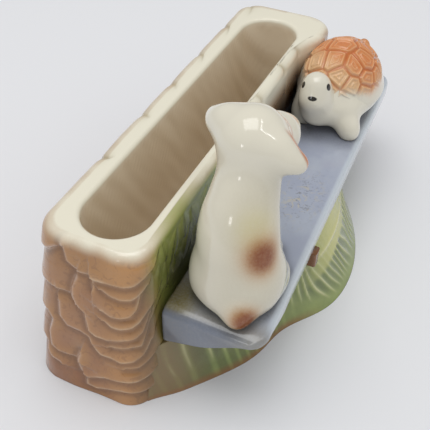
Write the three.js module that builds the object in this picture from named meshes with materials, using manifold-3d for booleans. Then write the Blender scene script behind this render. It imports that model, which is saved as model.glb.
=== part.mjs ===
// Posy vase in glazed earthenware: a hollow stone wall with a garden bench along its front,
// a grassy bank under the bench, and a seated dog and a tortoise on the seat.
// Millimetres, +Z up. The bench side faces -Y and the dog sits at the -X end, facing +X.
import * as THREE from "three";
import { mergeVertices } from "three/addons/utils/BufferGeometryUtils.js";
import Module from "manifold-3d";

const wasm = await Module();
wasm.setup();

// Slip seam left between two luted pieces
const SEAM = 0.3;

// Stone wall: the mouth, the rim around it and the spread of the foot past the rim
const MOUTH_LENGTH = 152;
const MOUTH_WIDTH = 24.5;
const RIM_HEIGHT = 68;
const RIM_NEAR = 7;
const RIM_FAR = 13;
const RIM_FRONT_NEAR = 7.5;
const RIM_FRONT_FAR = 5;
const RIM_BACK = 9.7;
const FOOT_NEAR = 7.5;
const FOOT_FAR = 6;
const FOOT_BACK = 5.5;
const PIER_X = 57;
const PIER_BLEND = 18;
const PIER_DEPTH = 6;
const CORNER_RADIUS = 11;
const RIM_ROUNDING = 3;
const MOUTH_ROUNDING = 1.2;
const TROUGH_FLOOR = 6;
const TROUGH_DRAFT = 2.5;
const TROUGH_FLOOR_ROUNDING = 4;
const COURSE_HEIGHT = 10.75;
const STONE_LENGTH = 29;
const STONE_RELIEF = 1.3;
const COURSE_STAGGER = 0.38;
const WALL_COLUMNS = 104;
const PIER_STEPS = 12;
const COURSE_ROWS = [0, 0.16, 0.5, 0.84];
const ROUNDING_TURNS = [0, 30, 60, 90];

// Bench: a seat that thins from the wall to its front edge, on one short post
const BENCH_TOP = 40;
const BENCH_NEAR_X = -74;
const BENCH_LENGTH = 174;
const BENCH_NEAR_DEPTH = 36.5;
const BENCH_FAR_DEPTH = 32.5;
const BENCH_WALL_THICKNESS = 17;
const BENCH_EDGE_THICKNESS = 7.5;
const BENCH_CORNER = 6;
const BENCH_EDGE_ROUNDING = 2;
const BENCH_EDGE_STEPS = 3;
const BENCH_CORNER_STEPS = 5;
const LEG_X = -17;
const LEG_WIDTH = 5;
const LEG_DEPTH = 6;
const LEG_LENGTH = 13;
const LEG_PROUD = 0.8;

// Bank: a half-cosine lobe in plan that draws in as it rises to the seat
const BANK_PEAK_X = 3;
const BANK_NEAR_REACH = 87;
const BANK_FAR_REACH = 87;
const BANK_DEPTH = 46.5;
const BANK_DRAW_IN = 12;
const BANK_END_DRAW_IN = 7;
const BANK_NOTCH_X = -33;
const BANK_NOTCH_DEPTH = 6;
const BANK_NOTCH_WIDTH = 14;
const BANK_COLUMNS = 56;
const BANK_ROWS = [0, 0.25, 0.5, 0.75, 1];

// Dog: its seat on the bench, the neck seam, the head's middle from the seat and its turn and tilt
const DOG_X = -57;
const DOG_FROM_WALL = 19.2;
const DOG_NECK = 39;
const DOG_HEAD_MIDDLE = [16, 2.5, 52.8];
const DOG_HEAD_YAW = -15;
const DOG_HEAD_ROLL = 6;
const DOG_TRUNK_FILLET = 6;
const DOG_HEAD_FILLET = 4;
const DOG_EAR_FILLET = 3.5;
const DOG_EAR_FRONT = 4.6;

// Tortoise: its seat on the bench and the level of the shell's edge
const TORTOISE_X = 66;
const TORTOISE_FROM_WALL = 16.5;
const SHELL_EDGE = 8.5;
const SHELL_FILLET = 3;
const TORTOISE_FILLET = 5;

// A level above both figures and a reach beyond their clay, where the search for a skin begins
const FIGURE_CEILING = 115;
const FIGURE_REACH = 45;
const SEARCH_STEP = 0.5;
const HALVINGS = 24;
const NARROWEST = 0.3;

const WALL_NEAR_X = -MOUTH_LENGTH / 2 - RIM_NEAR;
const WALL_FAR_X = MOUTH_LENGTH / 2 + RIM_FAR;
const WALL_FRONT_NEAR_Y = -MOUTH_WIDTH / 2 - RIM_FRONT_NEAR;
const WALL_FRONT_FAR_Y = -MOUTH_WIDTH / 2 - RIM_FRONT_FAR;
const WALL_BACK_Y = MOUTH_WIDTH / 2 + RIM_BACK;
const CUT_MARGIN = 5;
const CUT_OVERRUN = 20;
const DEGREE = Math.PI / 180;

// The wall thins a little towards its far end, so its front runs slightly askew,
// and a pier of thicker stones stands forward of that line at the far end
const frontLine = (x) => THREE.MathUtils.mapLinear(
  x, WALL_NEAR_X, WALL_FAR_X, WALL_FRONT_NEAR_Y, WALL_FRONT_FAR_Y,
);
const pierShare = (x) => THREE.MathUtils.smoothstep(x, PIER_X, PIER_X + PIER_BLEND);
const wallFront = (x) => frontLine(x) - PIER_DEPTH * pierShare(x);

const glaze = (color, roughness) => new THREE.MeshStandardMaterial({ color, roughness });
const STONE_GLAZE = glaze("#9a755c", 0.25);
const BANK_GLAZE = glaze("#8f9a6a", 0.25);
const BENCH_GLAZE = glaze("#9ba3b5", 0.22);
const POST_GLAZE = glaze("#7a4a28", 0.25);
const DOG_GLAZE = glaze("#d9d5c8", 0.15);
const SHELL_GLAZE = glaze("#ce7a45", 0.2);
const TORTOISE_GLAZE = glaze("#d5d0bf", 0.15);

// Joins and cuts on closed meshes
function solid(geometry) {
  const bare = geometry.clone();
  bare.deleteAttribute("normal");
  bare.deleteAttribute("uv");
  const merged = mergeVertices(bare);
  const vertProperties = new Float32Array(merged.attributes.position.array);
  const triVerts = new Uint32Array(merged.index.array);
  return new wasm.Manifold(new wasm.Mesh({ numProp: 3, vertProperties, triVerts }));
}

function geometryOf(body) {
  const mesh = body.getMesh();
  const geometry = new THREE.BufferGeometry();
  geometry.setAttribute("position", new THREE.BufferAttribute(mesh.vertProperties, 3));
  geometry.setIndex(new THREE.BufferAttribute(mesh.triVerts, 1));
  geometry.computeVertexNormals();
  return geometry;
}

function block(x0, x1, y0, y1, z0, z1) {
  const box = new THREE.BoxGeometry(x1 - x0, y1 - y0, z1 - z0);
  return box.translate((x0 + x1) / 2, (y0 + y1) / 2, (z0 + z1) / 2);
}

// A closed skin over level rings of equal count, listed upwards and anticlockwise from above.
// The ends are flat, or the top rises to an apex.
function ringStack(rings, apex = null) {
  const count = rings[0].length;
  const positions = rings.flat().flatMap((point) => [point.x, point.y, point.z]);
  const lastRing = (rings.length - 1) * count;
  const index = [];
  for (let i = 0; i < count; i += 1) {
    const next = (i + 1) % count;
    for (let ring = 0; ring < rings.length - 1; ring += 1) {
      const low = ring * count;
      const high = low + count;
      index.push(low + i, low + next, high + next);
      index.push(low + i, high + next, high + i);
    }
    if (apex) index.push(rings.length * count, lastRing + i, lastRing + next);
  }
  THREE.ShapeUtils.triangulateShape(rings[0], []).forEach(([a, b, c]) => index.push(a, c, b));
  if (apex) {
    positions.push(...apex.toArray());
  } else {
    const lid = THREE.ShapeUtils.triangulateShape(rings.at(-1), []);
    lid.flat().forEach((corner) => index.push(lastRing + corner));
  }
  const geometry = new THREE.BufferGeometry();
  geometry.setAttribute("position", new THREE.Float32BufferAttribute(positions, 3));
  geometry.setIndex(index);
  return geometry;
}

// Evenly spaced points on a rectangle with round corners, anticlockwise
function roundedOutline(near, far, front, back, radius, count) {
  const path = new THREE.Path();
  path.absarc(far - radius, front + radius, radius, -Math.PI / 2, 0);
  path.absarc(far - radius, back - radius, radius, 0, Math.PI / 2);
  path.absarc(near + radius, back - radius, radius, Math.PI / 2, Math.PI);
  path.absarc(near + radius, front + radius, radius, Math.PI, Math.PI * 1.5);
  path.closePath();
  return path.getSpacedPoints(count).slice(0, count);
}

// Depth of the joints between the stones at a run along the outline and a height:
// each stone is a pillow, full in its middle and falling to the joints around it
function jointDepth(run, z) {
  const pillow = (share) => 1 - Math.abs(2 * share - 1) ** 4;
  const course = Math.floor(z / COURSE_HEIGHT);
  const rise = z / COURSE_HEIGHT - course;
  const along = run / STONE_LENGTH + course * COURSE_STAGGER;
  return STONE_RELIEF * (1 - pillow(rise) * pillow(along - Math.floor(along)));
}

function wallRing(z, inset, carved) {
  const spread = 1 - z / RIM_HEIGHT;
  const near = WALL_NEAR_X - FOOT_NEAR * spread + inset;
  const far = WALL_FAR_X + FOOT_FAR * spread - inset;
  const back = WALL_BACK_Y + FOOT_BACK * spread - inset;
  const front = WALL_FRONT_NEAR_Y + inset;
  const outline = roundedOutline(near, far, front, back, CORNER_RADIUS - inset, WALL_COLUMNS);
  const step = outline[0].distanceTo(outline[1]);
  const thinned = (point) => (point.y < 0 ? (point.y * (wallFront(point.x) + inset)) / front : point.y);
  return outline.map((point, i) => {
    const before = outline.at(i - 1);
    const after = outline[(i + 1) % WALL_COLUMNS];
    const outward = new THREE.Vector2(after.y - before.y, before.x - after.x).normalize();
    const clearOfFront = THREE.MathUtils.smoothstep(point.y, front, front + CORNER_RADIUS);
    const depth = carved ? jointDepth(i * step, z) * clearOfFront : 0;
    return new THREE.Vector3(point.x - outward.x * depth, thinned(point) - outward.y * depth, z);
  });
}

// Everything behind the wall's front face, for cutting what is luted to it
function behindWallFront() {
  const near = WALL_NEAR_X - CUT_OVERRUN;
  const far = WALL_FAR_X + CUT_OVERRUN;
  const plan = new THREE.Shape();
  plan.moveTo(near, wallFront(near) - SEAM);
  for (let i = 0; i <= PIER_STEPS; i += 1) {
    const x = PIER_X + (PIER_BLEND * i) / PIER_STEPS;
    plan.lineTo(x, wallFront(x) - SEAM);
  }
  plan.lineTo(far, wallFront(far) - SEAM);
  plan.lineTo(far, WALL_BACK_Y);
  plan.lineTo(near, WALL_BACK_Y);
  plan.closePath();
  return solid(new THREE.ExtrudeGeometry(plan, { depth: 2 * RIM_HEIGHT, bevelEnabled: false }));
}

function mouthRing(z, outset) {
  const halfWidth = MOUTH_WIDTH / 2 + outset;
  const halfLength = MOUTH_LENGTH / 2 + outset;
  const radius = halfWidth;
  const outline = roundedOutline(-halfLength, halfLength, -halfWidth, halfWidth, radius, WALL_COLUMNS);
  return outline.map((point) => new THREE.Vector3(point.x, point.y, z));
}

function wallTrough() {
  const rings = [];
  const carvedHeight = RIM_HEIGHT - RIM_ROUNDING;
  for (let base = 0; base < carvedHeight; base += COURSE_HEIGHT) {
    const levels = COURSE_ROWS.map((share) => base + share * COURSE_HEIGHT);
    const carved = levels.filter((z) => z < carvedHeight - 1);
    carved.forEach((z) => rings.push(wallRing(z, 0, z > 0)));
  }
  for (const turn of ROUNDING_TURNS) {
    const rise = RIM_ROUNDING * Math.sin(turn * DEGREE);
    const inset = RIM_ROUNDING * (1 - Math.cos(turn * DEGREE));
    rings.push(wallRing(carvedHeight + rise, inset, false));
  }
  const hollow = [
    mouthRing(TROUGH_FLOOR, -TROUGH_DRAFT - TROUGH_FLOOR_ROUNDING),
    mouthRing(TROUGH_FLOOR + TROUGH_FLOOR_ROUNDING, -TROUGH_DRAFT),
    mouthRing(RIM_HEIGHT - MOUTH_ROUNDING, 0),
    mouthRing(RIM_HEIGHT - MOUTH_ROUNDING / 3, MOUTH_ROUNDING / 3),
    mouthRing(RIM_HEIGHT, MOUTH_ROUNDING),
    mouthRing(RIM_HEIGHT + CUT_MARGIN, MOUTH_ROUNDING),
  ];
  return geometryOf(solid(ringStack(rings)).subtract(solid(ringStack(hollow))));
}

// The seat in plan, its edges rounded and its underside sloped, running on into the wall.
// grow swells it by a seam for cutting the pieces that carry it.
function seatBlank(grow) {
  const near = BENCH_NEAR_X - grow;
  const far = BENCH_NEAR_X + BENCH_LENGTH + grow;
  const nearFront = frontLine(near) - BENCH_NEAR_DEPTH - grow;
  const farFront = frontLine(far) - BENCH_FAR_DEPTH - grow;
  const deepest = Math.min(nearFront, farFront) - CUT_MARGIN;
  const plan = new THREE.Shape();
  plan.moveTo(near, 0);
  plan.lineTo(near, nearFront + BENCH_CORNER);
  plan.quadraticCurveTo(near, nearFront, near + BENCH_CORNER, nearFront);
  plan.lineTo(far - BENCH_CORNER, farFront);
  plan.quadraticCurveTo(far, farFront, far, farFront + BENCH_CORNER);
  plan.lineTo(far, 0);
  plan.closePath();
  const slab = new THREE.ExtrudeGeometry(plan, {
    depth: BENCH_WALL_THICKNESS + 2 * grow - BENCH_EDGE_ROUNDING,
    bevelThickness: BENCH_EDGE_ROUNDING,
    bevelSize: BENCH_EDGE_ROUNDING,
    bevelOffset: -BENCH_EDGE_ROUNDING,
    bevelSegments: BENCH_EDGE_STEPS,
    curveSegments: BENCH_CORNER_STEPS,
  });
  slab.translate(0, 0, BENCH_TOP - BENCH_WALL_THICKNESS - grow);
  const slope = (BENCH_WALL_THICKNESS - BENCH_EDGE_THICKNESS) / BENCH_NEAR_DEPTH;
  const lowest = BENCH_TOP - BENCH_WALL_THICKNESS - grow;
  const underside = (y) => lowest + slope * (WALL_FRONT_NEAR_Y - y);
  const lowZ = lowest - CUT_OVERRUN;
  const under = new THREE.Shape();
  under.moveTo(deepest, lowZ);
  under.lineTo(0, lowZ);
  under.lineTo(0, underside(0));
  under.lineTo(deepest, underside(deepest));
  under.closePath();
  const width = far - near + 2 * CUT_MARGIN;
  const wedge = new THREE.ExtrudeGeometry(under, { depth: width, bevelEnabled: false });
  const alongX = new THREE.Matrix4().makeBasis(
    new THREE.Vector3(0, 1, 0), new THREE.Vector3(0, 0, 1), new THREE.Vector3(1, 0, 0),
  );
  wedge.applyMatrix4(alongX).translate(near - CUT_MARGIN, 0, 0);
  return solid(slab).subtract(solid(wedge));
}

const benchSeat = () => geometryOf(seatBlank(0).subtract(behindWallFront()));

// The post's front stands proud of the seat's edge where it meets the bank.
// grow and headroom swell it for cutting its place in the bank.
function postBlock(grow, headroom) {
  const share = (LEG_X - BENCH_NEAR_X) / BENCH_LENGTH;
  const seatFront = frontLine(LEG_X) - THREE.MathUtils.lerp(BENCH_NEAR_DEPTH, BENCH_FAR_DEPTH, share);
  const front = seatFront - LEG_PROUD - grow;
  const top = BENCH_TOP - BENCH_EDGE_THICKNESS - SEAM;
  const box = block(
    LEG_X - LEG_WIDTH / 2 - grow, LEG_X + LEG_WIDTH / 2 + grow,
    front, front + LEG_DEPTH + 2 * grow,
    top - LEG_LENGTH - grow, top + headroom,
  );
  return solid(box);
}

const benchPost = () => geometryOf(postBlock(0, 0).subtract(seatBlank(SEAM)));

function bankRing(z, height) {
  const rise = z / height;
  const front = Array.from({ length: BANK_COLUMNS + 1 }, (_, i) => {
    const share = -Math.cos((Math.PI * i) / BANK_COLUMNS);
    const reach = (share < 0 ? BANK_NEAR_REACH : BANK_FAR_REACH) - BANK_END_DRAW_IN * rise;
    const x = BANK_PEAK_X + reach * share;
    const lobe = (BANK_DEPTH - BANK_DRAW_IN * rise ** 0.8) * Math.cos((Math.PI / 2) * share);
    const notch = BANK_NOTCH_DEPTH * Math.exp(-(((x - BANK_NOTCH_X) / BANK_NOTCH_WIDTH) ** 2));
    return new THREE.Vector3(x, frontLine(x) - Math.max(lobe - notch * (1 - rise), 0), z);
  });
  const first = new THREE.Vector3(front[0].x, 0, z);
  const last = new THREE.Vector3(front[BANK_COLUMNS].x, 0, z);
  return [first, ...front, last];
}

function groundBank() {
  const height = BENCH_TOP - BENCH_EDGE_THICKNESS;
  const rings = BANK_ROWS.map((share) => bankRing(share * height, height));
  return geometryOf(solid(ringStack(rings))
    .subtract(seatBlank(SEAM)).subtract(postBlock(SEAM, CUT_MARGIN))
    .subtract(behindWallFront()));
}

// Modelled clay: ellipsoids pressed together, each [x, y, z, x radius, y radius, z radius]
function distanceTo([x, y, z, rx, ry, rz], point) {
  const unit = new THREE.Vector3((point.x - x) / rx, (point.y - y) / ry, (point.z - z) / rz);
  const steep = new THREE.Vector3(unit.x / rx, unit.y / ry, unit.z / rz).length();
  const length = unit.length();
  return steep > 0 ? (length * (length - 1)) / steep : -Math.min(rx, ry, rz);
}

// The smaller of two distances, with the crease between them filled by a fillet
function pressed(first, second, fillet) {
  const mix = THREE.MathUtils.clamp(0.5 + (first - second) / (2 * fillet), 0, 1);
  return THREE.MathUtils.lerp(first, second, mix) - fillet * mix * (1 - mix);
}

function clayDistance(forms, fillet, point) {
  const distances = forms.map((form) => distanceTo(form, point));
  return distances.reduce((nearest, distance) => pressed(nearest, distance, fillet));
}

// The place between outside and inside where a test turns true
function crossing(isInside, outside, inside) {
  let [out, within] = [outside, inside];
  for (let i = 0; i < HALVINGS; i += 1) {
    const middle = (out + within) / 2;
    if (isInside(middle)) within = middle;
    else out = middle;
  }
  return within;
}

// The outermost skin of the clay around an upright axis, row by row from low to high.
// A skin with no high level closes in a dome on the axis. grow swells it by a seam.
function claySkin({ distance, axis, low, high = null, rows, columns, grow = 0 }) {
  const inside = (x, y, z) => distance(new THREE.Vector3(x, y, z)) < grow;
  const inAxis = (z) => inside(axis(z).x, axis(z).y, z);
  let crown = FIGURE_CEILING;
  while (!inAxis(crown)) crown -= SEARCH_STEP;
  crown = crossing(inAxis, crown + SEARCH_STEP, crown);
  const end = high ?? crown;
  const rings = Array.from({ length: rows }, (_, row) => {
    const share = high === null ? Math.sin((Math.PI / 2) * (row / rows)) : row / (rows - 1);
    const z = low + (end - low) * share;
    const { x, y } = axis(z);
    return Array.from({ length: columns }, (_, column) => {
      const angle = (2 * Math.PI * column) / columns;
      const along = (r) => inside(x + r * Math.cos(angle), y + r * Math.sin(angle), z);
      let radius = FIGURE_REACH;
      while (radius > SEARCH_STEP && !along(radius)) radius -= SEARCH_STEP;
      radius = Math.max(crossing(along, radius + SEARCH_STEP, radius), NARROWEST);
      return new THREE.Vector3(x + radius * Math.cos(angle), y + radius * Math.sin(angle), z);
    });
  });
  const top = high === null ? new THREE.Vector3(axis(end).x, axis(end).y, end) : null;
  return ringStack(rings, top);
}

const upright = ([x, y]) => () => new THREE.Vector2(x, y);

// Forms given about a figure's seat, moved on to the bench
const seated = (forms, x, fromWall) => forms.map(
  ([dx, dy, dz, ...radii]) => [x + dx, frontLine(x) - fromWall + dy, BENCH_TOP + dz, ...radii],
);

// Head forms are given forward, sideways and up from the head's middle
function turned([forward, side, up, ...radii]) {
  const place = new THREE.Vector3(forward, side, up);
  place.applyAxisAngle(new THREE.Vector3(1, 0, 0), DOG_HEAD_ROLL * DEGREE);
  place.applyAxisAngle(new THREE.Vector3(0, 0, 1), DOG_HEAD_YAW * DEGREE);
  place.add(new THREE.Vector3(...DOG_HEAD_MIDDLE));
  return [...place.toArray(), ...radii];
}

const DOG_SEAT = [DOG_X, DOG_FROM_WALL];
const DOG_TRUNK_FORMS = seated([
  [-0.5, -0.3, 7.5, 13.2, 14, 11.5],
  [1, -0.3, 18, 12.4, 13.6, 13],
  [3.5, -0.2, 28, 11.3, 11.8, 12],
  [7.5, 0.4, 36, 10, 9.7, 11],
  [12, 1.3, 42, 8.8, 9, 9],
  [3, 8.8, 9, 10.5, 6, 10],
  [3, -9, 9, 10.5, 6, 10],
  [19, 4.5, 12, 4.5, 4.2, 14],
  [19, -3.5, 12, 4.5, 4.2, 14],
  [23, 4.5, 2.5, 5, 4, 4],
  [23, -3.5, 2.5, 5, 4, 4],
  [12, 11, 2.5, 7, 4, 3.5],
  [11, -10.5, 2.5, 7, 4, 3.5],
], ...DOG_SEAT);
const DOG_HEAD_FORMS = seated([
  turned([0, 0, 0, 11.5, 11.5, 10.8]),
  turned([11.5, -0.5, -5, 9.5, 8.2, 7]),
  turned([19.5, -0.5, -5.5, 2.2, 2.8, 2.2]),
], ...DOG_SEAT);
const DOG_EAR_FORMS = (side) => seated([
  turned([-0.5, side * 9.5, 1, 5.5, 6, 6]),
  turned([0.5, side * 13.6, -0.4, 4.2, 4, 3.5]),
  turned([2.4, side * 16.6, -1.4, 2.6, 2, 2]),
], ...DOG_SEAT);
const DOG_TAIL_FORMS = seated([[-11, -6, 3, 4, 3.6, 4]], ...DOG_SEAT);

// The dog's axis leans from its seat to the middle of its head
function dogAxis(z) {
  const lean = THREE.MathUtils.smoothstep(z - BENCH_TOP, 0, DOG_HEAD_MIDDLE[2]);
  const seatY = frontLine(DOG_X) - DOG_FROM_WALL;
  return new THREE.Vector2(DOG_X + DOG_HEAD_MIDDLE[0] * lean, seatY + DOG_HEAD_MIDDLE[1] * lean);
}

function dogDistance(point) {
  const trunk = clayDistance(DOG_TRUNK_FORMS, DOG_TRUNK_FILLET, point);
  const head = clayDistance(DOG_HEAD_FORMS, DOG_HEAD_FILLET, point);
  return pressed(head, trunk, DOG_TRUNK_FILLET);
}

const dogBody = (grow = 0) => claySkin({
  distance: dogDistance,
  axis: dogAxis,
  low: BENCH_TOP,
  high: BENCH_TOP + DOG_NECK,
  rows: 20,
  columns: 32,
  grow,
});
const dogHead = (grow = 0) => claySkin({
  distance: dogDistance,
  axis: dogAxis,
  low: BENCH_TOP + DOG_NECK + SEAM - grow,
  rows: 18,
  columns: 32,
  grow,
});

// A drop ear: the front is cut square, to the crisp edge that carries the brown line
function dogEar(side) {
  const forms = DOG_EAR_FORMS(side);
  const forward = new THREE.Vector2(1, 0).rotateAround(new THREE.Vector2(), DOG_HEAD_YAW * DEGREE);
  const [skull] = DOG_HEAD_FORMS;
  const skin = claySkin({
    distance: (point) => {
      const ahead = new THREE.Vector2(point.x - skull[0], point.y - skull[1]).dot(forward);
      return Math.max(clayDistance(forms, DOG_EAR_FILLET, point), ahead - DOG_EAR_FRONT);
    },
    axis: upright(forms[1]),
    low: forms[1][2] - forms[1][5] + SEAM,
    rows: 11,
    columns: 22,
  });
  return geometryOf(solid(skin).subtract(solid(dogHead(SEAM))));
}

function dogTail() {
  const skin = claySkin({
    distance: (point) => clayDistance(DOG_TAIL_FORMS, DOG_TRUNK_FILLET, point),
    axis: upright(DOG_TAIL_FORMS[0]),
    low: BENCH_TOP,
    rows: 7,
    columns: 16,
  });
  return geometryOf(solid(skin).subtract(solid(dogBody(SEAM))));
}

const TORTOISE_SEAT = [TORTOISE_X, TORTOISE_FROM_WALL];
const TORTOISE_MIDDLE = upright([TORTOISE_X, frontLine(TORTOISE_X) - TORTOISE_FROM_WALL]);
const SHELL_FORMS = seated([
  [0.5, 0, 11.5, 22.3, 17.5, 18.5],
  [2, 0, 10, 21.8, 18.4, 5],
], ...TORTOISE_SEAT);
const TORTOISE_FORMS = seated([
  [0, 0, 8.5, 21.5, 16.2, 7],
  [-16.5, 1, 9, 9, 9.5, 7],
  [-21.5, 3.6, 11.5, 6.2, 6.4, 8.5],
  [-16.5, -8, 7, 5.5, 5.5, 6.5],
  [-20, -10.7, 3, 4.3, 4.4, 5],
  [-15, 8.5, 7, 5.5, 5.2, 6.5],
  [-17.5, 10.5, 3, 4.2, 4.2, 5],
  [17, -8.5, 6.5, 5, 5, 6],
  [20, -10.8, 3, 4.4, 4.2, 5],
  [17, 9, 6.5, 5, 5, 6],
  [19.5, 11.2, 3, 4.4, 4.2, 5],
], ...TORTOISE_SEAT);
const TORTOISE_HEAD_FORMS = seated([
  [-22.3, 4, 19.3, 6.6, 6.4, 7.5],
  [-25.6, 3.8, 16.3, 4.8, 5.4, 4.5],
], ...TORTOISE_SEAT);
const TORTOISE_TAIL_FORMS = seated([
  [24, -1, 6, 6, 3.4, 3.4],
  [25.8, -1, 13.5, 2.8, 2.6, 5.5],
], ...TORTOISE_SEAT);

const tortoiseShellSkin = (grow = 0) => solid(claySkin({
  distance: (point) => clayDistance(SHELL_FORMS, SHELL_FILLET, point),
  axis: TORTOISE_MIDDLE,
  low: BENCH_TOP + SHELL_EDGE - grow,
  rows: 12,
  columns: 36,
  grow,
}));
const tortoiseBodySkin = (grow = 0) => solid(claySkin({
  distance: (point) => clayDistance(TORTOISE_FORMS, TORTOISE_FILLET, point),
  axis: TORTOISE_MIDDLE,
  low: BENCH_TOP,
  rows: 14,
  columns: 44,
  grow,
}));
const tortoiseHeadSkin = () => solid(claySkin({
  distance: (point) => clayDistance(TORTOISE_HEAD_FORMS, SHELL_FILLET, point),
  axis: upright(TORTOISE_HEAD_FORMS[0]),
  low: TORTOISE_HEAD_FORMS[0][2] - TORTOISE_HEAD_FORMS[0][5] + SEAM,
  rows: 13,
  columns: 26,
}));

function tortoiseTail() {
  const [root, tip] = TORTOISE_TAIL_FORMS;
  const skin = claySkin({
    distance: (point) => clayDistance(TORTOISE_TAIL_FORMS, SHELL_FILLET, point),
    axis: upright([(root[0] + tip[0]) / 2, (root[1] + tip[1]) / 2]),
    low: BENCH_TOP + SEAM,
    rows: 9,
    columns: 16,
  });
  return geometryOf(solid(skin).subtract(tortoiseShellSkin(SEAM)).subtract(tortoiseBodySkin(SEAM)));
}

const tortoiseShell = () => geometryOf(tortoiseShellSkin().subtract(behindWallFront()));
const tortoiseBody = () => geometryOf(
  tortoiseBodySkin().subtract(tortoiseShellSkin(SEAM)).subtract(behindWallFront()),
);
const tortoiseHead = () => geometryOf(
  tortoiseHeadSkin().subtract(tortoiseBodySkin(SEAM)).subtract(tortoiseShellSkin(SEAM)),
);

const vase = new THREE.Group();

function add(name, geometry, material) {
  const mesh = new THREE.Mesh(geometry, material);
  mesh.name = name;
  vase.add(mesh);
}

add("wall_trough", wallTrough(), STONE_GLAZE);
add("ground_bank", groundBank(), BANK_GLAZE);
add("bench_seat", benchSeat(), BENCH_GLAZE);
add("bench_leg", benchPost(), POST_GLAZE);
add("dog_body", dogBody(), DOG_GLAZE);
add("dog_head", dogHead(), DOG_GLAZE);
add("dog_ear_left", dogEar(1), DOG_GLAZE);
add("dog_ear_right", dogEar(-1), DOG_GLAZE);
add("dog_tail", dogTail(), DOG_GLAZE);
add("tortoise_shell", tortoiseShell(), SHELL_GLAZE);
add("tortoise_body", tortoiseBody(), TORTOISE_GLAZE);
add("tortoise_head", tortoiseHead(), TORTOISE_GLAZE);
add("tortoise_tail", tortoiseTail(), TORTOISE_GLAZE);

// The origin is under the middle of the whole vase, on the surface it stands on
const extent = new THREE.Box3().setFromObject(vase);
const middle = extent.getCenter(new THREE.Vector3());
vase.position.set(-middle.x, -middle.y, -extent.min.z);

export default vase;
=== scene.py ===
import math

import bpy
import numpy as np
from mathutils import Matrix, Vector


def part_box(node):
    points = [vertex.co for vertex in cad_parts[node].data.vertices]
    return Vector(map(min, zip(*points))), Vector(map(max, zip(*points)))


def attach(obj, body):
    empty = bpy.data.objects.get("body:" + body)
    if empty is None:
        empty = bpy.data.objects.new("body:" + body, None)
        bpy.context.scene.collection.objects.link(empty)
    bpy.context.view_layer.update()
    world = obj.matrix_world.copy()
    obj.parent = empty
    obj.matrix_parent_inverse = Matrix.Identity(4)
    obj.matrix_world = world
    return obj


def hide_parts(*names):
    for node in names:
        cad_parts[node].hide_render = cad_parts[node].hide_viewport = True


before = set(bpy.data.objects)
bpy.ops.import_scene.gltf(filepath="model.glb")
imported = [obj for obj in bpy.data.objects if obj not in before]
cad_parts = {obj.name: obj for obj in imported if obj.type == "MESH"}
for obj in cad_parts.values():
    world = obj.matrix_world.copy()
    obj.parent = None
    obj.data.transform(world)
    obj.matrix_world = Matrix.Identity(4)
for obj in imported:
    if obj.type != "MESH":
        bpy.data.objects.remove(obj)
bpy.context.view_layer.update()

bl_info = {
    "name": "Posy vase looks",
    "version": (1, 0, 0),
    "blender": (4, 5, 0),
    "location": "3D View > Sidebar > Posy Vase",
    "description": "Dresses the packed posy vase as hand-painted, glazed earthenware",
    "category": "Object",
}

MM = 0.001

# Stone wall, in millimetres: x along the wall from the dog to the tortoise, y from the bench
# to the back, both from the middle of the mouth, z up from the surface the vase stands on
MOUTH_LENGTH = 152.0
MOUTH_WIDTH = 24.5
RIM_HEIGHT = 68.0
WALL_NEAR_X = -83.0
WALL_FAR_X = 89.0
WALL_FRONT_NEAR_Y = -19.75
WALL_FRONT_FAR_Y = -17.25
WALL_BACK_Y = 21.95
FOOT_NEAR = 7.5
FOOT_FAR = 6.0
FOOT_BACK = 5.5
PIER_X = 57.0
PIER_BLEND = 18.0
PIER_DEPTH = 6.0
CORNER_RADIUS = 11.0
TROUGH_FLOOR = 6.0
TROUGH_DRAFT = 2.5
# Points round the wall: the near end, the front, the far end and the back
WALL_COLUMNS = (140, 180, 60, 90)
WALL_ROWS = 128

BENCH_TOP = 40.0
BENCH_NEAR_X = -74.0
BENCH_LENGTH = 174.0
BENCH_NEAR_DEPTH = 36.5
BENCH_FAR_DEPTH = 32.5
BENCH_WALL_THICKNESS = 17.0
BENCH_EDGE_THICKNESS = 7.5
BENCH_CORNER = 6.0
BENCH_NEAR_ROLL = 5.0
BENCH_NEAR_DROP = 2.8
BENCH_NEAR_UPTURN = 4.0
SEAM = 0.3

# The row frame's origin, seen from the middle of the mouth
SHIFT = np.array([
    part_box("bench_seat")[0].x / MM - BENCH_NEAR_X,
    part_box("wall_trough")[1].y / MM - WALL_BACK_Y - FOOT_BACK,
    0.0,
])


def linear(hex_colour):
    """Turns an sRGB hex colour to linear RGBA: each channel is raised by the sRGB curve."""
    parts = np.array([int(hex_colour[i:i + 2], 16) for i in (1, 3, 5)]) / 255
    curved = np.where(parts <= 0.04045, parts / 12.92, ((parts + 0.055) / 1.055) ** 2.4)
    return (*curved.tolist(), 1.0)


def ramp(value, low, high):
    """0 below low, 1 above high and an S-shaped cubic between."""
    share = np.clip((value - low) / (high - low), 0, 1)
    return share * share * (3 - 2 * share)


def fall(value, low, high):
    """1 below low, 0 above high: a ramp turned upside down."""
    return 1 - ramp(value, low, high)


def bell(distance, width):
    """A bell of height 1 that falls to 1/e at the given distance."""
    return np.exp(-(distance / width) ** 2)


def ripple(a, b, seed):
    """A soft unevenness of about one millimetre: six sine waves of seeded direction and length."""
    draw = np.random.default_rng(seed)
    total = 0
    for wave in range(6):
        turn, phase = draw.uniform(0, 2 * math.pi, 2)
        length = draw.uniform(11, 34)
        run = a * math.cos(turn) + b * math.sin(turn)
        total = total + np.sin(2 * math.pi * run / length + phase) / 6
    return total


def sprayed(points, place, core, soft):
    """An airbrushed spot: full within core of its middle, then a bell of width soft."""
    return bell(np.maximum(np.linalg.norm(points - np.array(place), axis=-1) - core, 0), soft)


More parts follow.
